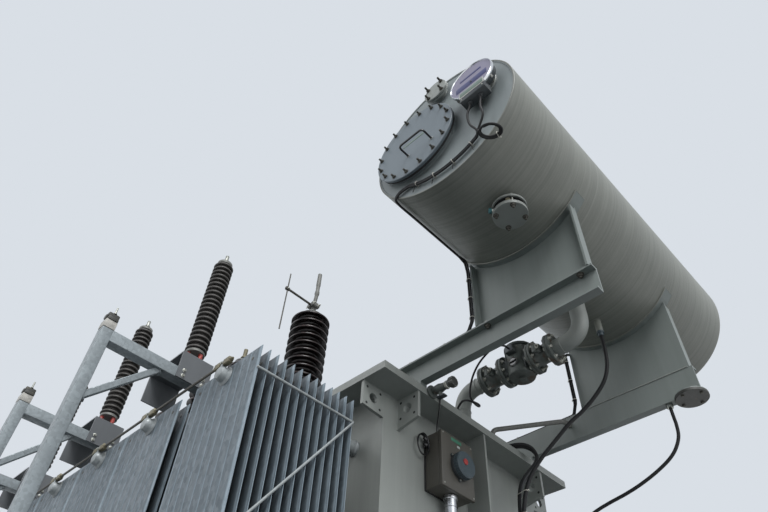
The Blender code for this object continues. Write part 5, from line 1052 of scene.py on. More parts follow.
def shedColumn(count, pitch, radius, core, low, shed):
    # The outline of one shed, as shares of its reach and its pitch, repeated up the column
    rows = [(core + (radius - core) * out, low + (k + rise) * pitch) for k in range(count) for out, rise in shed]
    return rows + [(core, low + count * pitch)]


def rimShare(x, y, low, radius):  # a point's distance from the axis as a share of the sheds' radius, and 0 below them
    return lambda points: np.where(points[:, 2] > low, np.hypot(points[:, 0] - x, points[:, 1] - y) / radius, 0.0)


def footSpots(x):  # the arrester's three feet
    reach = arrester["footReach"]
    return [(x + reach * math.cos(a), arrester["y"] + reach * math.sin(a)) for a in np.radians(arrester["feet"])]


def makeArresters():
    a, y, seat, core = arrester, arrester["y"], arrester["seat"], arrester["core"]
    top = a["base"] + a["sheds"] * a["pitch"]
    column = shedColumn(a["sheds"], a["pitch"], a["radius"], core, a["base"], a["shed"])
    foot = [(0.050, 0.055), (0.056, 0.058), (0.056, 0.073), (0.052, 0.0765)]
    cap = [(core, top - 0.001), (core + 0.006, top + 0.002), (core + 0.006, top + 0.020), (core - 0.002, top + 0.026),
           (0.030, top + 0.030)]
    stud = [(0.019, top + 0.029), (0.019, top + 0.038), (0.012, top + 0.040), (0.012, top + 0.098), (0.010, top + 0.100)]
    for number, x in enumerate(a["xs"], 1):
        spin = lambda profile, segments, spot=(x, y): turned(profile, (*spot, seat), segments=segments)
        feet = footSpots(x)
        shapes = [(spin(column, 44), silicone), (spin(foot, 40), dullAluminium), (spin(cap, 40), dullAluminium),
                  (spin(stud, 20), zincBolt), (boltRow(0.019, [(x, y, seat + top + 0.045)], up), zincBolt),
                  *dressed(redResin, *[spin(a["post"], 20, spot) for spot in feet]),
                  (boltRow(0.009, [(*spot, seat + 0.0735) for spot in feet], up), zincBolt)]
        makePiece(f"surge_arrester_{number}", shapes, [f"arrester_{number}"], 60.0,
                  rimShare(x, y, seat + 0.07, a["radius"]))


bushing = {"y": -0.45, "seat": 3.0926, "base": 0.050, "turret": 0.1998, "neutralX": 0.60, "phaseXs": (-0.28, -0.84, -1.40),
           "neutral": (14, 0.070, 0.147, 0.098, 72, 12), "phase": (11, 0.090, 0.115, 0.072, 56, 8),
           "shed": [(0.0, 0.0), (0.02, 0.14), (0.14, 0.26), (0.78, 0.23), (0.90, 0.17), (0.97, 0.17), (1.0, 0.22),
                    (1.0, 0.30), (0.96, 0.36), (0.30, 0.70), (0.06, 0.88)]}


def makeBushings():
    b, y, seat, base = bushing, bushing["y"], bushing["seat"], bushing["base"]
    kinds = [("neutral_bushing", b["neutralX"], b["neutral"])]
    kinds += [(f"phase_bushing_{n}", x, b["phase"]) for n, x in enumerate(b["phaseXs"], 1)]
    for name, x, (count, pitch, radius, core, faces, bolts) in kinds:
        high, foot = base + count * pitch, core + 0.025
        spin = lambda profile, segments: turned(profile, (x, y, seat), segments=segments)
        glazed = [(core + 0.003, 0.040), *shedColumn(count, pitch, radius, core, base, b["shed"]), (core * 0.93, high + 0.004)]
        cap = [(core * 0.95, high + 0.001), (core * 0.97, high + 0.006), (core * 0.90, high + 0.016),
               (core * 0.6, high + 0.026), (core * 0.45, high + 0.035)]
        clamp = [(foot - 0.006, 0.0), (foot, 0.003), (foot, 0.022), (foot - 0.006, 0.026), (core + 0.009, 0.030),
                 (core + 0.006, 0.046), (core + 0.001, 0.049)]
        shapes = [(spin(glazed, faces), porcelain), (spin(clamp, 64), dullAluminium), (spin(cap, 56), dullAluminium),
                  (boltRing(0.010, (x, y, seat + 0.024), up, foot - 0.0125, bolts, 0.2, 0.006), zincBolt)]
        if name != "neutral_bushing":
            stud = [(0.020, high + 0.034), (0.020, high + 0.050), (0.018, high + 0.052), (0.018, high + 0.153),
                    (0.016, high + 0.155)]
            shapes += dressed(brass, spin(stud, 24), boltRow(0.028, [(x, y, seat + high + 0.056)], up))
        # The steel turret below is turned again here, round and flanged, over the plain one on the cover
        turret = [(foot + 0.0002, -b["turret"]), (foot + 0.0012, -0.190), (foot + 0.0012, -0.0182), (foot + 0.010, -0.0172),
                  (foot + 0.011, -0.002), (foot + 0.008, 0.0)]
        shapes += dressed(paint, spin(turret, 72), ringWeld((x, y, seat - b["turret"] + 0.0003), up, foot + 0.003, 110, 0.004))
        makePiece(f"{name}_column", shapes, [name], 50.0, rimShare(x, y, seat + 0.047, radius))


terminal = {"seat": 4.1579, "clamp": 0.097, "hornReach": 0.285, "hornIn": 0.020, "horn": (-0.406, 0.166), "lean": 0.020,
            "stem": [(0.0, 0.0165), (0.10, 0.0165), (0.13, 0.015), (0.20, 0.015), (0.215, 0.019), (0.235, 0.019),
                     (0.25, 0.0155), (0.30, 0.0155), (0.305, 0.0185), (0.44, 0.0165)]}


def makeNeutralTerminal():
    x, y, seat = bushing["neutralX"], bushing["y"], terminal["seat"]
    clampZ, tip, lean = seat + terminal["clamp"], y - terminal["hornReach"], terminal["lean"]
    rodY, (hornLow, hornTop) = tip + terminal["hornIn"], terminal["horn"]
    knots = [(0.0, 0.012), (0.0, 0.030), (0.0, 0.107), (0.010, 0.150), (0.019, 0.215), (lean, 0.300), (lean, 0.420),
             (lean, 0.440)]
    stem = smoothPath([(x + across, y, seat + rise) for across, rise in knots], 0.012)
    width = np.interp(stem[:, 2] - seat, *zip(*terminal["stem"]))
    jaw = lambda near, far: softBox((x + near, y - 0.035, clampZ - 0.020), (x + far, y + 0.035, clampZ + 0.020), 0.007, 3)
    heads = [facing((x + way * 0.0375, y + side * 0.024, clampZ), (way, 0, 0)) for way in (-1, 1) for side in (-1, 1)]
    foot = [(0.050, 0.0), (0.055, 0.003), (0.055, 0.013), (0.048, 0.018), (0.030, 0.022)]
    shapes = [
        (turned(foot, (x, y, seat), segments=48), dullAluminium),
        (boltRing(0.007, (x, y, seat + 0.014), up, 0.044, 6), zincBolt),
        *dressed(dullAluminium, tube(stem, width, 24), jaw(-0.0375, -0.004), jaw(0.004, 0.0375)),
        (copies(hexBolt(0.010, 0.012), heads), zincBolt),
        *dressed(darkBolt, rod((x, y - 0.020, clampZ), (x, tip, clampZ), 0.009, 18),
                 softBox((x - 0.011, tip, clampZ - 0.013), (x + 0.011, tip + 0.036, clampZ + 0.013), 0.004),
                 rod((x, rodY, clampZ + hornLow), (x, rodY, clampZ + hornTop), 0.005, 14, 0.003)),
        (boltRow(0.006, [(x + 0.011, rodY, clampZ)], axisX, 0.004), zincBolt),
    ]
    makePiece("neutral_terminal_and_horn", shapes, ["neutral_terminal"])


makeArresters()
makeBushings()
makeNeutralTerminal()
print("arresters and bushings made")


# Thermometer box, cabinet and conduits

meter = {"low": (1.6503, -0.3445, 2.430), "high": (1.7703, -0.0895, 2.737), "dialY": -0.207, "dialZ": 2.572, "dial": 0.071,
         "front": 1.8203, "tube": 0.0044, "glands": (0.034, 0.068), "glandX": 1.676, "coil": (1.672, -0.384, 2.660),
         "coilTurns": 2.2, "hinges": 0.07, "tubeStart": (1.705, -0.300)}


def makeThermometer():
    (x0, y0, z0), (x1, y1, z1) = meter["low"], meter["high"]
    y, z, depth, radius = meter["dialY"], meter["dialZ"], meter["front"] - meter["high"][0], meter["dial"]
    turnX = lambda profile, at=(x1, y, z), segments=56: turned(profile, at, axisX, segments)
    aroundDial = lambda x, reach, angles: [
        facing((x, y + reach * math.cos(a), z + reach * math.sin(a)), axisX) for a in angles]
    bezel = [(radius - 0.004, 0.016), (radius - 0.001, 0.018), (radius - 0.001, depth - 0.006), (radius - 0.006, depth),
             (radius - 0.012, depth)]
    ribs = aroundDial(x1 + depth * 0.62, radius - 0.0005, np.linspace(0, 2 * np.pi, 36, endpoint=False))
    feet = aroundDial(x1, radius + 0.004, np.radians([25, 145, 265]))
    corners = [(x1, at, rise) for at in (y0 + 0.014, y1 - 0.014) for rise in (z0 + 0.014, z1 - 0.014)]
    shapes = [
        (softBox((x0 + 0.006, y0 + 0.004, z0 + 0.004), (x1 - 0.020, y1 - 0.004, z1 - 0.004), 0.005), boxPaint),
        (softBox((x0, y0, z0), (x0 + 0.007, y1, z1), 0.003), gasket),
        (softBox((x1 - 0.022, y0, z0), (x1, y1, z1), 0.0045, 3), boxPaint),
        (turnX([(radius - 0.004, -0.001), (radius, 0.002), (radius, 0.016), (radius - 0.003, 0.018)]), darkCasing),
        (turnX(bezel), slateBlue),
        (turnX([(0.0165, depth - 0.014), (0.0165, depth + 0.004), (0.012, depth + 0.008)], (x1, y - 0.012, z + 0.008), 24),
         redPlastic),
        (softBox((x1 - 0.001, y - 0.060, z1 - 0.034), (x1 + 0.0014, y + 0.025, z1 - 0.015), 0.0007), greenStrip),
        (softBox((x1 - 0.001, y - 0.010, z1 - 0.058), (x1 + 0.0013, y + 0.012, z1 - 0.045), 0.0006), blankStrip),
        (copies(turned([(0.0017, -0.012), (0.0017, 0.012)], segments=6), ribs), slateBlue),
        (copies(disc(0.009, 0.0, 0.008, 0.001, segments=16), feet), darkCasing),
        (copies(hexBolt(0.0045), aroundDial(x1 + 0.007, radius + 0.004, np.radians([25, 145, 265]))), zincBolt),
        (boltRow(0.0045, corners, axisX), zincBolt),
    ]
    for at in (z1 - meter["hinges"], z0 + meter["hinges"]):  # hinges on the side away from the rim
        hinge = (x1 - 0.010, y1 + 0.002)
        shapes.append((rod((*hinge, at - 0.02), (*hinge, at + 0.02), 0.0045, 12), darkCasing))
    # Two glands on the box's side, and the thin tube from the lower one wound in a coil
    gland = [(0.010, 0.0), (0.012, 0.003), (0.012, 0.014), (0.009, 0.017), (0.007, 0.030), (0.004, 0.032)]
    glands = [(meter["glandX"], y0, z1 - drop) for drop in meter["glands"]]
    turns = np.linspace(0, meter["coilTurns"] * 2 * np.pi, 70)
    coil = np.array(meter["coil"]) + np.stack(
        [0.004 * np.sin(turns * 0.5) + turns * 0.0012, 0.040 * np.cos(turns + 0.9), 0.058 * np.sin(turns + 0.9)], 1)
    wound = [glands[1], (meter["glandX"], y0 - 0.020, glands[1][2]), *coil]
    # Another tube leaves the box's top, bows over the rim's edge and runs on over the cover
    x, at = meter["tubeStart"]
    top = site["coverTop"] + meter["tube"] + 0.0002
    capillary = [(x, at, z1 - 0.001), (x, at, z1 + 0.020), (1.712, -0.308, z1 + 0.045), (1.748, -0.338, 2.815),
                 (1.792, -0.378, 2.840), (1.8155, -0.400, 2.868), (1.8150, -0.404, 2.895), (1.799, -0.402, 2.914),
                 (1.776, -0.396, 2.914), (1.758, -0.391, 2.903), (1.740, -0.388, top), (1.715, -0.385, top)]
    shapes += dressed(blackEnamel, *[turned(gland, spot, nearward, 18) for spot in glands],
                      tube(smoothPath(wound, 0.006), meter["tube"], 10), rod(capillary[0], (x, at, z1 + 0.014), 0.0085, 12),
                      tube(smoothPath(capillary, 0.008), meter["tube"], 10))
    makePiece("winding_thermometer", shapes, ["thermometer_box"])


conduits = {
    "main": {"radius": 0.031, "bend": 0.06, "points": [(1.7103, -0.217, 2.4297), (1.7103, -0.217, 2.1306),
                                                      (1.8906, -0.217, 1.9503), (1.8906, -0.217, 1.8203)]},
    "thin": {"radius": 0.014, "bend": 0.034, "points": [(1.765, 0.130, 2.8926), (1.765, 0.130, 2.9523),
                                                       (2.080, 0.4207, 3.0223), (2.080, 0.4807, 3.0223)]},
}


def makeConduits():
    main, thin = conduits["main"], conduits["thin"]
    top, foot, nut = main["points"][0], main["points"][-1], [(0.0145, 0.0), (0.019, 0.001), (0.019, 0.012), (0.0145, 0.013)]
    sleeve = lambda at, low, high, radius: disc(radius, low, high, 0.0015, place=at, segments=36)
    shapes = dressed(aluminium, tube(bentPath(main["points"], main["bend"], 14), main["radius"], 36),
                     sleeve(top, -0.018, 0.0, 0.036), sleeve(foot, 0.0, 0.018, 0.036))
    makePiece("main_conduit", [*shapes, (sleeve(top, -0.060, -0.0575, 0.0322), darkBolt)], ["conduit"])
    shapes = [(tube(bentPath(thin["points"], thin["bend"], 14), thin["radius"], 28), dullAluminium),
              (sleeve(thin["points"][0], 0.0, 0.014, 0.019), zincBolt), (turned(nut, thin["points"][-1], nearward, 6), zincBolt)]
    makePiece("thin_conduit", shapes, ["beam_conduit"])


cabinet = {"x": 2.0773, "low": 0.90, "high": 1.80, "doorY": (0.004, 0.300), "hingeY": 0.3065, "slat": 0.018, "slats": 5,
           "handleY": 0.036, "roof": ((1.7975, -0.342, 1.798), (2.1083, 0.342, 1.8045)),
           "hoses": [(1.8906, 0.1033), (1.9466, 0.2385), (1.8906, 0.1537), (1.8906, 0.2041)]}


def makeCabinetDetails():
    x, low, high, y = cabinet["x"], cabinet["low"], cabinet["high"], cabinet["handleY"]
    shapes = []
    for side in (-1, 1):  # two doors, each a shallow pan with a folded edge, on three hinges
        y0, y1 = sorted(side * edge for edge in cabinet["doorY"])
        shapes += dressed(paint, softBox((x - 0.002, y0, low + 0.014), (x + 0.008, y1, high - 0.030), 0.004),
                          softBox((x + 0.0075, y0 + 0.030, low + 0.045), (x + 0.0105, y1 - 0.030, high - 0.061), 0.0014))
        hinge = (x + 0.004, side * cabinet["hingeY"])
        for z in (low + 0.14, (low + high) / 2, high - 0.15):
            shapes.append((rod((*hinge, z - 0.028), (*hinge, z + 0.028), 0.0065, 14), zincBolt))
    for first in (low + 0.28, high - 0.32):  # louvres under the eaves and low down
        for z in first + np.arange(cabinet["slats"]) * cabinet["slat"]:
            shapes.append((softBox((x + 0.009, -0.225, z), (x + 0.0145, -0.075, z + 0.008), 0.002), paint))
    grip = [(x + 0.006, y, 1.400), (x + 0.040, y, 1.400), (x + 0.040, y, 1.280), (x + 0.030, y, 1.270)]
    shapes += [(softBox((x + 0.008, y - 0.016, 1.360), (x + 0.013, y + 0.016, 1.440), 0.002), darkCasing),
               (tube(bentPath(grip, 0.012), 0.0065, 14), chrome)]
    gland = [(0.0195, 1.8195), (0.0205, 1.8215), (0.0205, 1.829), (0.0185, 1.831), (0.0175, 1.8395), (0.0135, 1.8425),
             (0.0115, 1.8427)]
    for number, spot in enumerate(cabinet["hoses"]):
        shapes.append((turned(gland, (*spot, 0), segments=6 if number % 2 else 24), zincBolt))
    shapes.append((softBox(*cabinet["roof"], 0.003), paint))
    makePiece("cabinet_doors_and_glands", shapes)


makeThermometer()
makeConduits()
makeCabinetDetails()
print("thermometer, conduits and cabinet made")


# Held leads with their ties

leads = {"single": 0.0060, "arc": 0.405, "arcY": -1.1616, "edgeX": 2.1667, "edgeTop": 3.4795, "beamY": 0.506, "beamZ": 3.0899,
         "endX": 0.950, "gland": 2.9126, "runAngle": -43.98, "runRadius": 0.490, "saddleY": 0.5585, "nearEdge": -0.541,
         "farEdge": 0.437, "farStart": 0.931, "bend": 0.020, "coil": (2.818, -1.187, 3.478), "uprightTies": (3.42, 3.28, 3.14),
         "beamTies": (1.95, 1.70, 1.45, 1.20), "tie": 0.0130, "plateTies": (26.0, 9.0, -8.0, -25.0), "plateY": -1.1480}


def pair(path):  # two equal leads side by side: the path moved level to both sides
    path = np.array(path, float)
    ahead = np.gradient(path, axis=0)
    ahead /= np.maximum(np.linalg.norm(ahead, axis=1)[:, None], 1e-9)
    side = np.cross(ahead, axisY)
    side /= np.maximum(np.linalg.norm(side, axis=1)[:, None], 1e-9)
    return dressed(rubber, *[tube(path + side * leads["single"] * way, leads["single"], 12) for way in (-1.02, 1.02)])


def tieRound(place, direction, radius):  # a nylon tie with its lock, round both leads
    ring = ringPath(place, direction, radius, 24)
    lock = facing(place, direction) @ np.array(Matrix.Translation((radius, 0, 0)))
    return dressed(whiteNylon, tube(np.concatenate([ring, ring[:1]]), 0.0016, 6),
                   softBox((-0.003, -0.003, -0.003), (0.006, 0.003, 0.003), 0.001, 1, lock))


def runAt(y):  # a place on the leads' run along the shell
    return aroundDrum(leads["runAngle"], leads["runRadius"], y)


def makeRunDown(start, side, edgeY):  # round the saddle, down its edge, along the beam and into the cover, with the ties
    q, x, y, z = leads, leads["edgeX"], side * leads["beamY"], leads["beamZ"]
    route = [start, runAt(side * q["saddleY"]), (x, edgeY, q["edgeTop"]), (x, edgeY, z + 0.03), (x - 0.06, y, z),
             (q["endX"], y, z), (q["endX"], y, q["gland"])]
    shapes = pair(bentPath(route, q["bend"], 6))
    for tieZ in q["uprightTies"]:
        shapes += tieRound((x, edgeY, tieZ), up, q["tie"])
    for tieX in q["beamTies"]:
        shapes += tieRound((tieX, y, z), axisX, q["tie"])
    return shapes


def makeHeldLeads():
    q, y = leads, leads["arcY"]
    onPlate = lambda angle, out=0.0, inward=0.0: aroundDrum(angle, q["arc"] + out, y + inward)
    arc = [onPlate(angle) for angle in np.linspace(33.0, -33.0, 40)]
    turnBack = [onPlate(-37.5, 0.017), onPlate(-41.5, 0.050), onPlate(-43.6, 0.077, 0.012), runAt(y + 0.045), runAt(-1.00),
                runAt(-0.75), runAt(-0.62)]
    path = smoothPath([*arc, *turnBack], 0.010)
    shapes = pair(path) + makeRunDown(path[-1], -1, q["nearEdge"])
    # From the box's two glands down to the rim, and the spare length as a coil of two turns hung beside it
    junction, glandY, low = np.array(arc[0]), gauge["boxFront"] + 0.031, gauge["boxLow"]
    for across, bow, lift in ((gauge["glands"][0], -0.024, 0.0), (gauge["glands"][1], -0.010, 0.004)):
        x = gauge["x"] + across
        drop = [(x, glandY, low - 0.016), (x, glandY, low - 0.036), (x + bow, glandY + 0.002, 3.720),
                (x + bow * 0.9 - 0.004, -1.194, 3.650), (junction[0] + 0.010 + lift, -1.176 + lift, 3.590),
                (junction[0], y - lift, junction[2] + 0.002), arc[2]]
        shapes.append((tube(smoothPath(drop, 0.008), q["single"], 12), rubber))
    turns = np.linspace(0, 4 * np.pi, 72)  # a flat coil, its second turn smaller and a little higher
    reach = (0.057 - 0.0013 * turns)[:, None]
    across, ahead = np.array([0.7194, 0.6945, 0.0]), np.array([0.6807, -0.7050, -0.1990])
    coil = np.array(q["coil"]) - reach * (np.cos(turns)[:, None] * across + np.sin(turns)[:, None] * ahead * 0.84)
    coil[:, 2] += 0.0010 * turns
    spare = [junction + (0.0, 0.0, 0.012), junction, (junction + coil[0]) / 2, *coil[::4]]
    shapes.append((tube(smoothPath(spare, 0.008), q["single"], 12), rubber))
    for k in (14, 50):
        shapes += tieRound(coil[k], coil[k + 1] - coil[k - 1], 0.0105)
    for angle in q["plateTies"]:  # saddles welded to the plate, each with its tie and the dark strap's end below it
        x, _, z = spot = onPlate(angle)
        strap = [onPlate(angle - 0.4, 0.010, -0.004), onPlate(angle - 1.2, 0.030, 0.002),
                 onPlate(angle - 2.0, 0.048, 0.0065)]
        tilted = facing((x, q["plateY"], z), nearward) @ np.array(Matrix.Rotation(math.radians(angle), 4, "Z"))
        shapes += tieRound(spot, np.subtract(onPlate(angle + 1), spot), 0.0128)
        shapes += [(tube(strap, 0.0022, 6), rubber),
                   (softBox((-0.006, -0.022, -0.0015), (0.006, 0.022, 0.0015), 0.001, 1, tilted), paint)]
    makePiece("gauge_lead_pair", shapes, ["gauge_lead"])
    makePiece("far_lead_pair", makeRunDown(runAt(q["farStart"]), 1, q["farEdge"]), ["far_lead"])


makeHeldLeads()
print("held leads made")


# Bolts, lugs, glands and ties on the plates that keep their solids

lugs = {"eyeZ": 2.775, "sideOut": 0.073, "sideIn": 0.009, "endOut": 0.073, "endIn": 0.110, "hole": 0.0075, "holeReach": 0.047,
        "weldTop": 2.848, "sideWeld": 2.702, "endWeld": 2.672, "ribWeld": 0.375, "endHalf": 0.009, "ribHalf": 0.007,
        "bore": [(0.0277, -0.0085), (0.0310, -0.0092), (0.0310, 0.0092), (0.0277, 0.0085)]}


def rimWelds(halfX, halfY, z, size):  # weld beads along the four sides of a rectangle
    corners = [(-halfX, -halfY, z), (halfX, -halfY, z), (halfX, halfY, z), (-halfX, halfY, z)]
    return [lineWeld(a, b, size, 0.025) for a, b in zip(corners, corners[1:] + corners[:1])]


def makeTankDetails():
    endX, sideY, reach = site["endX"], site["sideY"], lugs["holeReach"]
    hole = disc(lugs["hole"], -0.0093, 0.0093, 0.0002, segments=18)
    upright = lambda x, y, low, step=0.012: lineWeld((x, y, low), (x, y, lugs["weldTop"]), step=step)
    shapes = []
    for sx in (-1, 1):
        for sy in (-1, 1):
            sideSpot = (sx * (endX - lugs["sideIn"]), sy * (sideY + lugs["sideOut"]), lugs["eyeZ"])
            endSpot = (sx * (endX + lugs["endOut"]), sy * (sideY - lugs["endIn"]), lugs["eyeZ"])
            for spot, way, across in ((sideSpot, axisX, axisY), (endSpot, axisY, axisX)):
                corner = lambda u, v: np.array(spot) + np.multiply(across, u) + (0.0, 0.0, v)
                spots = [corner(u, v) for u in (-reach, reach) for v in (-reach, reach)]
                shapes += [(turned(lugs["bore"], spot, way, 40, closed=True), paint),
                           (copies(hole, rowPlaces(spots, way)), darkHole)]
            shapes += dressed(paint, upright(sx * (endX - 0.018), sy * (sideY + 0.001), lugs["sideWeld"]),
                              *[upright(sx * (endX + 0.001), sy * (sideY - lugs["endIn"]) + face, lugs["endWeld"])
                                for face in (-lugs["endHalf"], lugs["endHalf"])])
        shapes += dressed(paint, *[upright(sx * (endX + 0.001), face, lugs["ribWeld"], 0.02)
                                   for face in (-lugs["ribHalf"], lugs["ribHalf"])])
    shapes += dressed(paint, *rimWelds(site["rimX"] - 0.0032, site["rimY"] - 0.0032, site["rimSeam"], 0.0028))
    for z, size in site["tankSeams"]:
        shapes += dressed(paint, *rimWelds(endX, sideY, z, size))
    makePiece("tank_lug_bores_and_welds", shapes)


fittings = {"beamY": 0.5085, "saddleXs": (2.235, 2.779), "saddleUnder": 3.0697, "saddleOver": 3.0797, "footXs": (1.09, 1.744),
            "footHalf": 0.028, "footTop": 2.9327, "weldY": 0.4805, "weldXs": (2.185, 2.829), "weldZ": 3.0805,
            "pad": (2.785, 0.506), "padLow": 2.9056, "farGland": (2.661, 0.506),
            "coverGlands": [(0.95, -0.506), (0.95, 0.506), (1.735, -0.155)], "valve": (-0.457, 2.8813),
            "leadYs": (0.275, 0.305), "leadZ": 2.9148}


def makeFittings():
    f = fittings
    shapes = []
    for side in (-1, 1):
        y = side * f["beamY"]
        feet = [(x + dx, y, f["footTop"]) for x in f["footXs"] for dx in (-f["footHalf"], f["footHalf"])]
        start, end = [(x, side * f["weldY"], f["weldZ"]) for x in f["weldXs"]]
        shapes += [(boltRow(0.0155, [(x, y, f["saddleUnder"]) for x in f["saddleXs"]], down, 0.010), darkBolt),
                   (boltRow(0.0155, [(x, y, f["saddleOver"]) for x in f["saddleXs"]], up), zincBolt),
                   (boltRow(0.012, feet, up, 0.008), zincBolt), (lineWeld(start, end), paint)]
    # The round pad under the far beam's end, the gland of the far hose and the glands on the cover
    nut = [(0.0115, 2.9018), (0.0175, 2.9028), (0.0190, 2.906), (0.0190, 2.9222)]
    gland = [(0.0195, 2.8922), (0.0195, 2.9032), (0.0165, 2.9052), (0.0165, 2.9112), (0.0125, 2.9126)]
    # The pad's dark iron is painted shade on its underside
    shapes += [(disc(0.0865, f["padLow"], 2.9224, 0.002, place=(*f["pad"], 0), segments=56), darkIronAndPaintedShade),
               (boltRing(0.009, (*f["pad"], f["padLow"]), down, 0.066, 4, 0.4), darkBolt),
               *dressed(zincBolt, turned(nut, (*f["farGland"], 0), segments=6),
                        *[turned(gland, (*spot, 0), segments=6) for spot in f["coverGlands"]])]
    # The edge valve by the near beam: flange against the rim, body, square spindle and cap
    rimX, (y, z) = site["rimX"], f["valve"]
    edge = lambda profile, segments=32: turned(profile, (rimX, y, z), axisX, segments)
    shapes += dressed(castIron, edge([(0.0355, 0.0005), (0.0375, 0.002), (0.0375, 0.0130), (0.0355, 0.0145)]),
                      edge([(0.014, 0.013), (0.024, 0.035), (0.026, 0.062), (0.020, 0.085), (0.0175, 0.133)]),
                      rod((rimX + 0.062, y, 2.855), (rimX + 0.062, y, 2.827), 0.0105, 16))
    shapes += [(edge([(0.0285, 0.1315), (0.0300, 0.1335), (0.0300, 0.1580), (0.0265, 0.1612)], 8), darkIronAndPaintedShade),
               (edge([(0.021, 0.100), (0.023, 0.102), (0.023, 0.114), (0.021, 0.116)], 6), zincBolt),
               (softBox((rimX + 0.044, y - 0.015, 2.822), (rimX + 0.096, y + 0.015, 2.831), 0.004), darkCasing)]
    # The two leads' box on the cover: a lid with four screws and a gland for each lead
    screws = [(x, y, 2.939) for x in (1.644, 1.693) for y in (0.249, 0.331)]
    gland = [(0.0135, 0.0), (0.0145, 0.002), (0.0145, 0.012), (0.0108, 0.014), (0.0104, 0.020)]
    shapes += [(softBox((1.636, 0.241, 2.930), (1.7004, 0.339, 2.939), 0.002), paint), (boltRow(0.004, screws, up), zincBolt),
               *dressed(zincBolt, *[turned(gland, (1.700, y, f["leadZ"]), axisX, 20) for y in f["leadYs"]])]
    makePiece("beam_bolts_glands_and_edge_valve", shapes)


ties = {"levels": (2.535, 2.415, 2.22, 2.02), "hoses": ("vent_hose", "cover_lead_1", "cover_lead_2"), "strap": 0.0018,
        "below": 2.65}


def strapPath(spots, reach, z):  # a strap drawn tight round upright leads: at each angle, the lead that stands out furthest
    angle = np.linspace(0, 2 * np.pi, 72)
    ahead = np.stack([np.cos(angle), np.sin(angle)], 1)
    furthest = np.argmax(ahead @ spots.T + reach, axis=1)
    points = spots[furthest] + ahead * (reach[furthest] + 0.0012)[:, None]
    return np.column_stack([points, np.full(len(points), z)])


def makeHoseTies():
    # White ties gather the hose and the two leads that hang in front of the end wall
    shapes = []
    bundle = [hoses[name] for name in ties["hoses"]]
    paths = [smoothPath(hose["knots"], 0.02) for hose in bundle]
    lows = [path[path[:, 2] < ties["below"]][::-1] for path in paths]
    for z in ties["levels"]:
        spots = [[np.interp(z, low[:, 2], low[:, axis]) for axis in (0, 1)] for low in lows]
        strap = strapPath(np.array(spots), np.array([hose["radius"] for hose in bundle]), z)
        lock = softBox(strap[0] - (0.002, 0.004, 0.004), strap[0] + (0.007, 0.004, 0.004), 0.0015)
        shapes += dressed(whiteNylon, tube(strap, ties["strap"], 8), lock)
    makePiece("hose_ties", shapes)


posts = {"xs": (0.834, -0.15, -1.134), "y": -1.858, "side": 0.060, "corner": 0.005, "plate": 0.220, "plateThick": 0.016,
         "railLow": 2.8926, "railTop": 2.9596, "rail": 0.067, "railEnd": -0.649, "strut": 0.034, "strutReach": 0.33,
         "strutLow": 2.571, "boltReach": 0.085, "seatLow": 2.9605, "seat": 3.0096, "railBolts": (-0.770, -0.700),
         "bracketOut": 0.0756, "bracketZs": (2.912, 2.945), "underBracket": 3.0546}


def makeFrames():
    # Each frame is of rolled hollow section: post, rail over the cover, corner strut and foot plate
    q, y = posts, posts["y"]
    half, rail, plate, strut, edge = q["side"] / 2, q["rail"] / 2, q["plate"] / 2, q["strut"] / 2, q["corner"]
    for number, x in enumerate(q["xs"], 1):
        start, end = np.array([x, y + half * 0.6, q["strutLow"]]), np.array([x, y + q["strutReach"], q["railLow"] + 0.006])
        length = float(np.linalg.norm(end - start))
        lean = np.array(Matrix.Translation(start) @ Vector(end - start).to_track_quat("Z", "X").to_matrix().to_4x4())
        along = facing((x, y + half - 0.004, (q["railLow"] + q["railTop"]) / 2), axisY)
        shapes = dressed(
            galvanised,
            softBox((x - half, y - half, q["plateThick"] - 0.001), (x + half, y + half, q["railTop"]), edge, 3),
            softBox((-rail, -rail, 0.0), (rail, rail, q["railEnd"] - y - half + 0.004), edge, 3, along),
            softBox((-strut, -strut, 0.0), (strut, strut, length), 0.004, 2, lean),
            softBox((x - plate, y - plate, 0.0), (x + plate, y + plate, q["plateThick"]), 0.003),
            ringWeld(start + (0, half * 0.4, 0), end - start, strut * 1.24, 26, 0.003),
            ringWeld(end - (0, 0, 0.006), end - start, strut * 1.24, 26, 0.003))
        makePiece(f"arrester_post_and_rail_{number}", shapes, [f"arrester_frame_{number}"], 20.0)


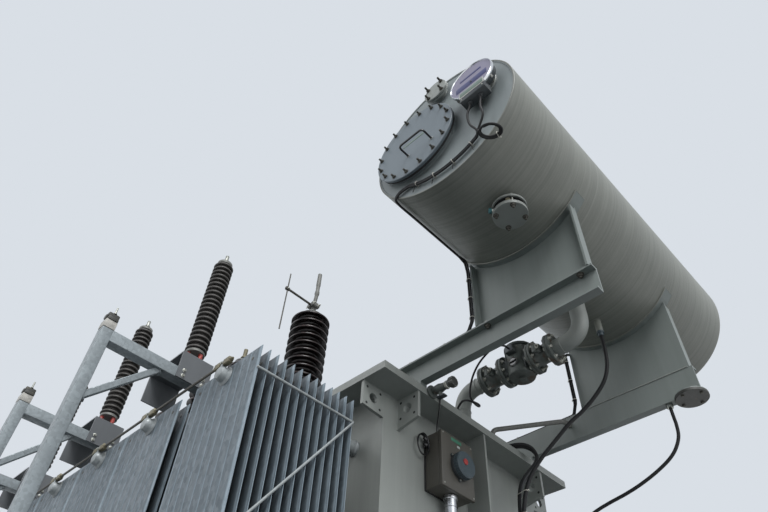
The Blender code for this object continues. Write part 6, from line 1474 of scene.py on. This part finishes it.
def makeFrameFittings():
    q, y, seat, reach = posts, posts["y"], posts["seat"], posts["boltReach"]
    block = lambda x, halfX, halfY, low, high, edge=0.006, steps=2: softBox(
        (x - halfX, y - halfY, low), (x + halfX, y + halfY, high), edge, steps)
    shapes = []
    for x in q["xs"]:
        corners = [(x + sx * reach, y + sy * reach, q["plateThick"]) for sx in (-1, 1) for sy in (-1, 1)]
        # The cable clamp on its pale seat: a ribbed saddle, a cap over the cable's groove, a long bolt and a short one
        shapes += [(boltRow(0.013, corners, up, 0.022), zincBolt),
                   (block(x, 0.0315, 0.0315, q["seatLow"], seat + 0.0004, 0.004), whiteResin),
                   *dressed(darkIronAndPaintedShade, block(x, 0.036, 0.026, seat, seat + 0.022),
                            block(x, 0.030, 0.030, seat + 0.020, seat + 0.046, 0.009, 3),
                            rod((x, y - 0.034, seat + 0.022), (x, y + 0.034, seat + 0.022), 0.016, 24))]
        for dx, high in ((0.024, 0.090), (-0.024, 0.064)):
            shapes.append((rod((x + dx, y, seat + 0.010), (x + dx, y, seat + high), 0.005, 12), zincBolt))
        rail = [(x + dx, at, 2.9600) for at in q["railBolts"] for dx in (-0.018, 0.018)]
        shapes += dressed(zincBolt, boltRow(0.009, [(x + dx, y, seat + 0.045) for dx in (-0.024, 0.024)], up),
                          boltRow(0.009, rail, up))
        cap = softBox((x - 0.0345, q["railEnd"], q["railLow"]), (x + 0.0345, q["railEnd"] + 0.0020, 2.9600), 0.0006)
        welds = [lineWeld((x + dx, y + 0.031, 2.894), (x + dx, y + 0.031, 2.958), 0.0032, 0.008) for dx in (-0.029, 0.029)]
        shapes += dressed(galvanised, cap, *welds)
    for x in arrester["xs"]:  # bracket bolts into the rail and under the arresters
        side = [(x + q["bracketOut"], arrester["y"] + dy, z) for dy in (-0.06, 0.06) for z in q["bracketZs"]]
        under = [(*spot, q["underBracket"]) for spot in footSpots(x)]
        shapes += dressed(zincBolt, boltRow(0.010, side, axisX), boltRow(0.009, under, down, 0.006))
    makePiece("frame_clamps_and_bolts", shapes)


makeTankDetails()
makeFittings()
makeHoseTies()
makeFrames()
makeFrameFittings()
print("fittings made")

sizes = {"cad": cadCorners, "visual": [list(corner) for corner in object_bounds()]}
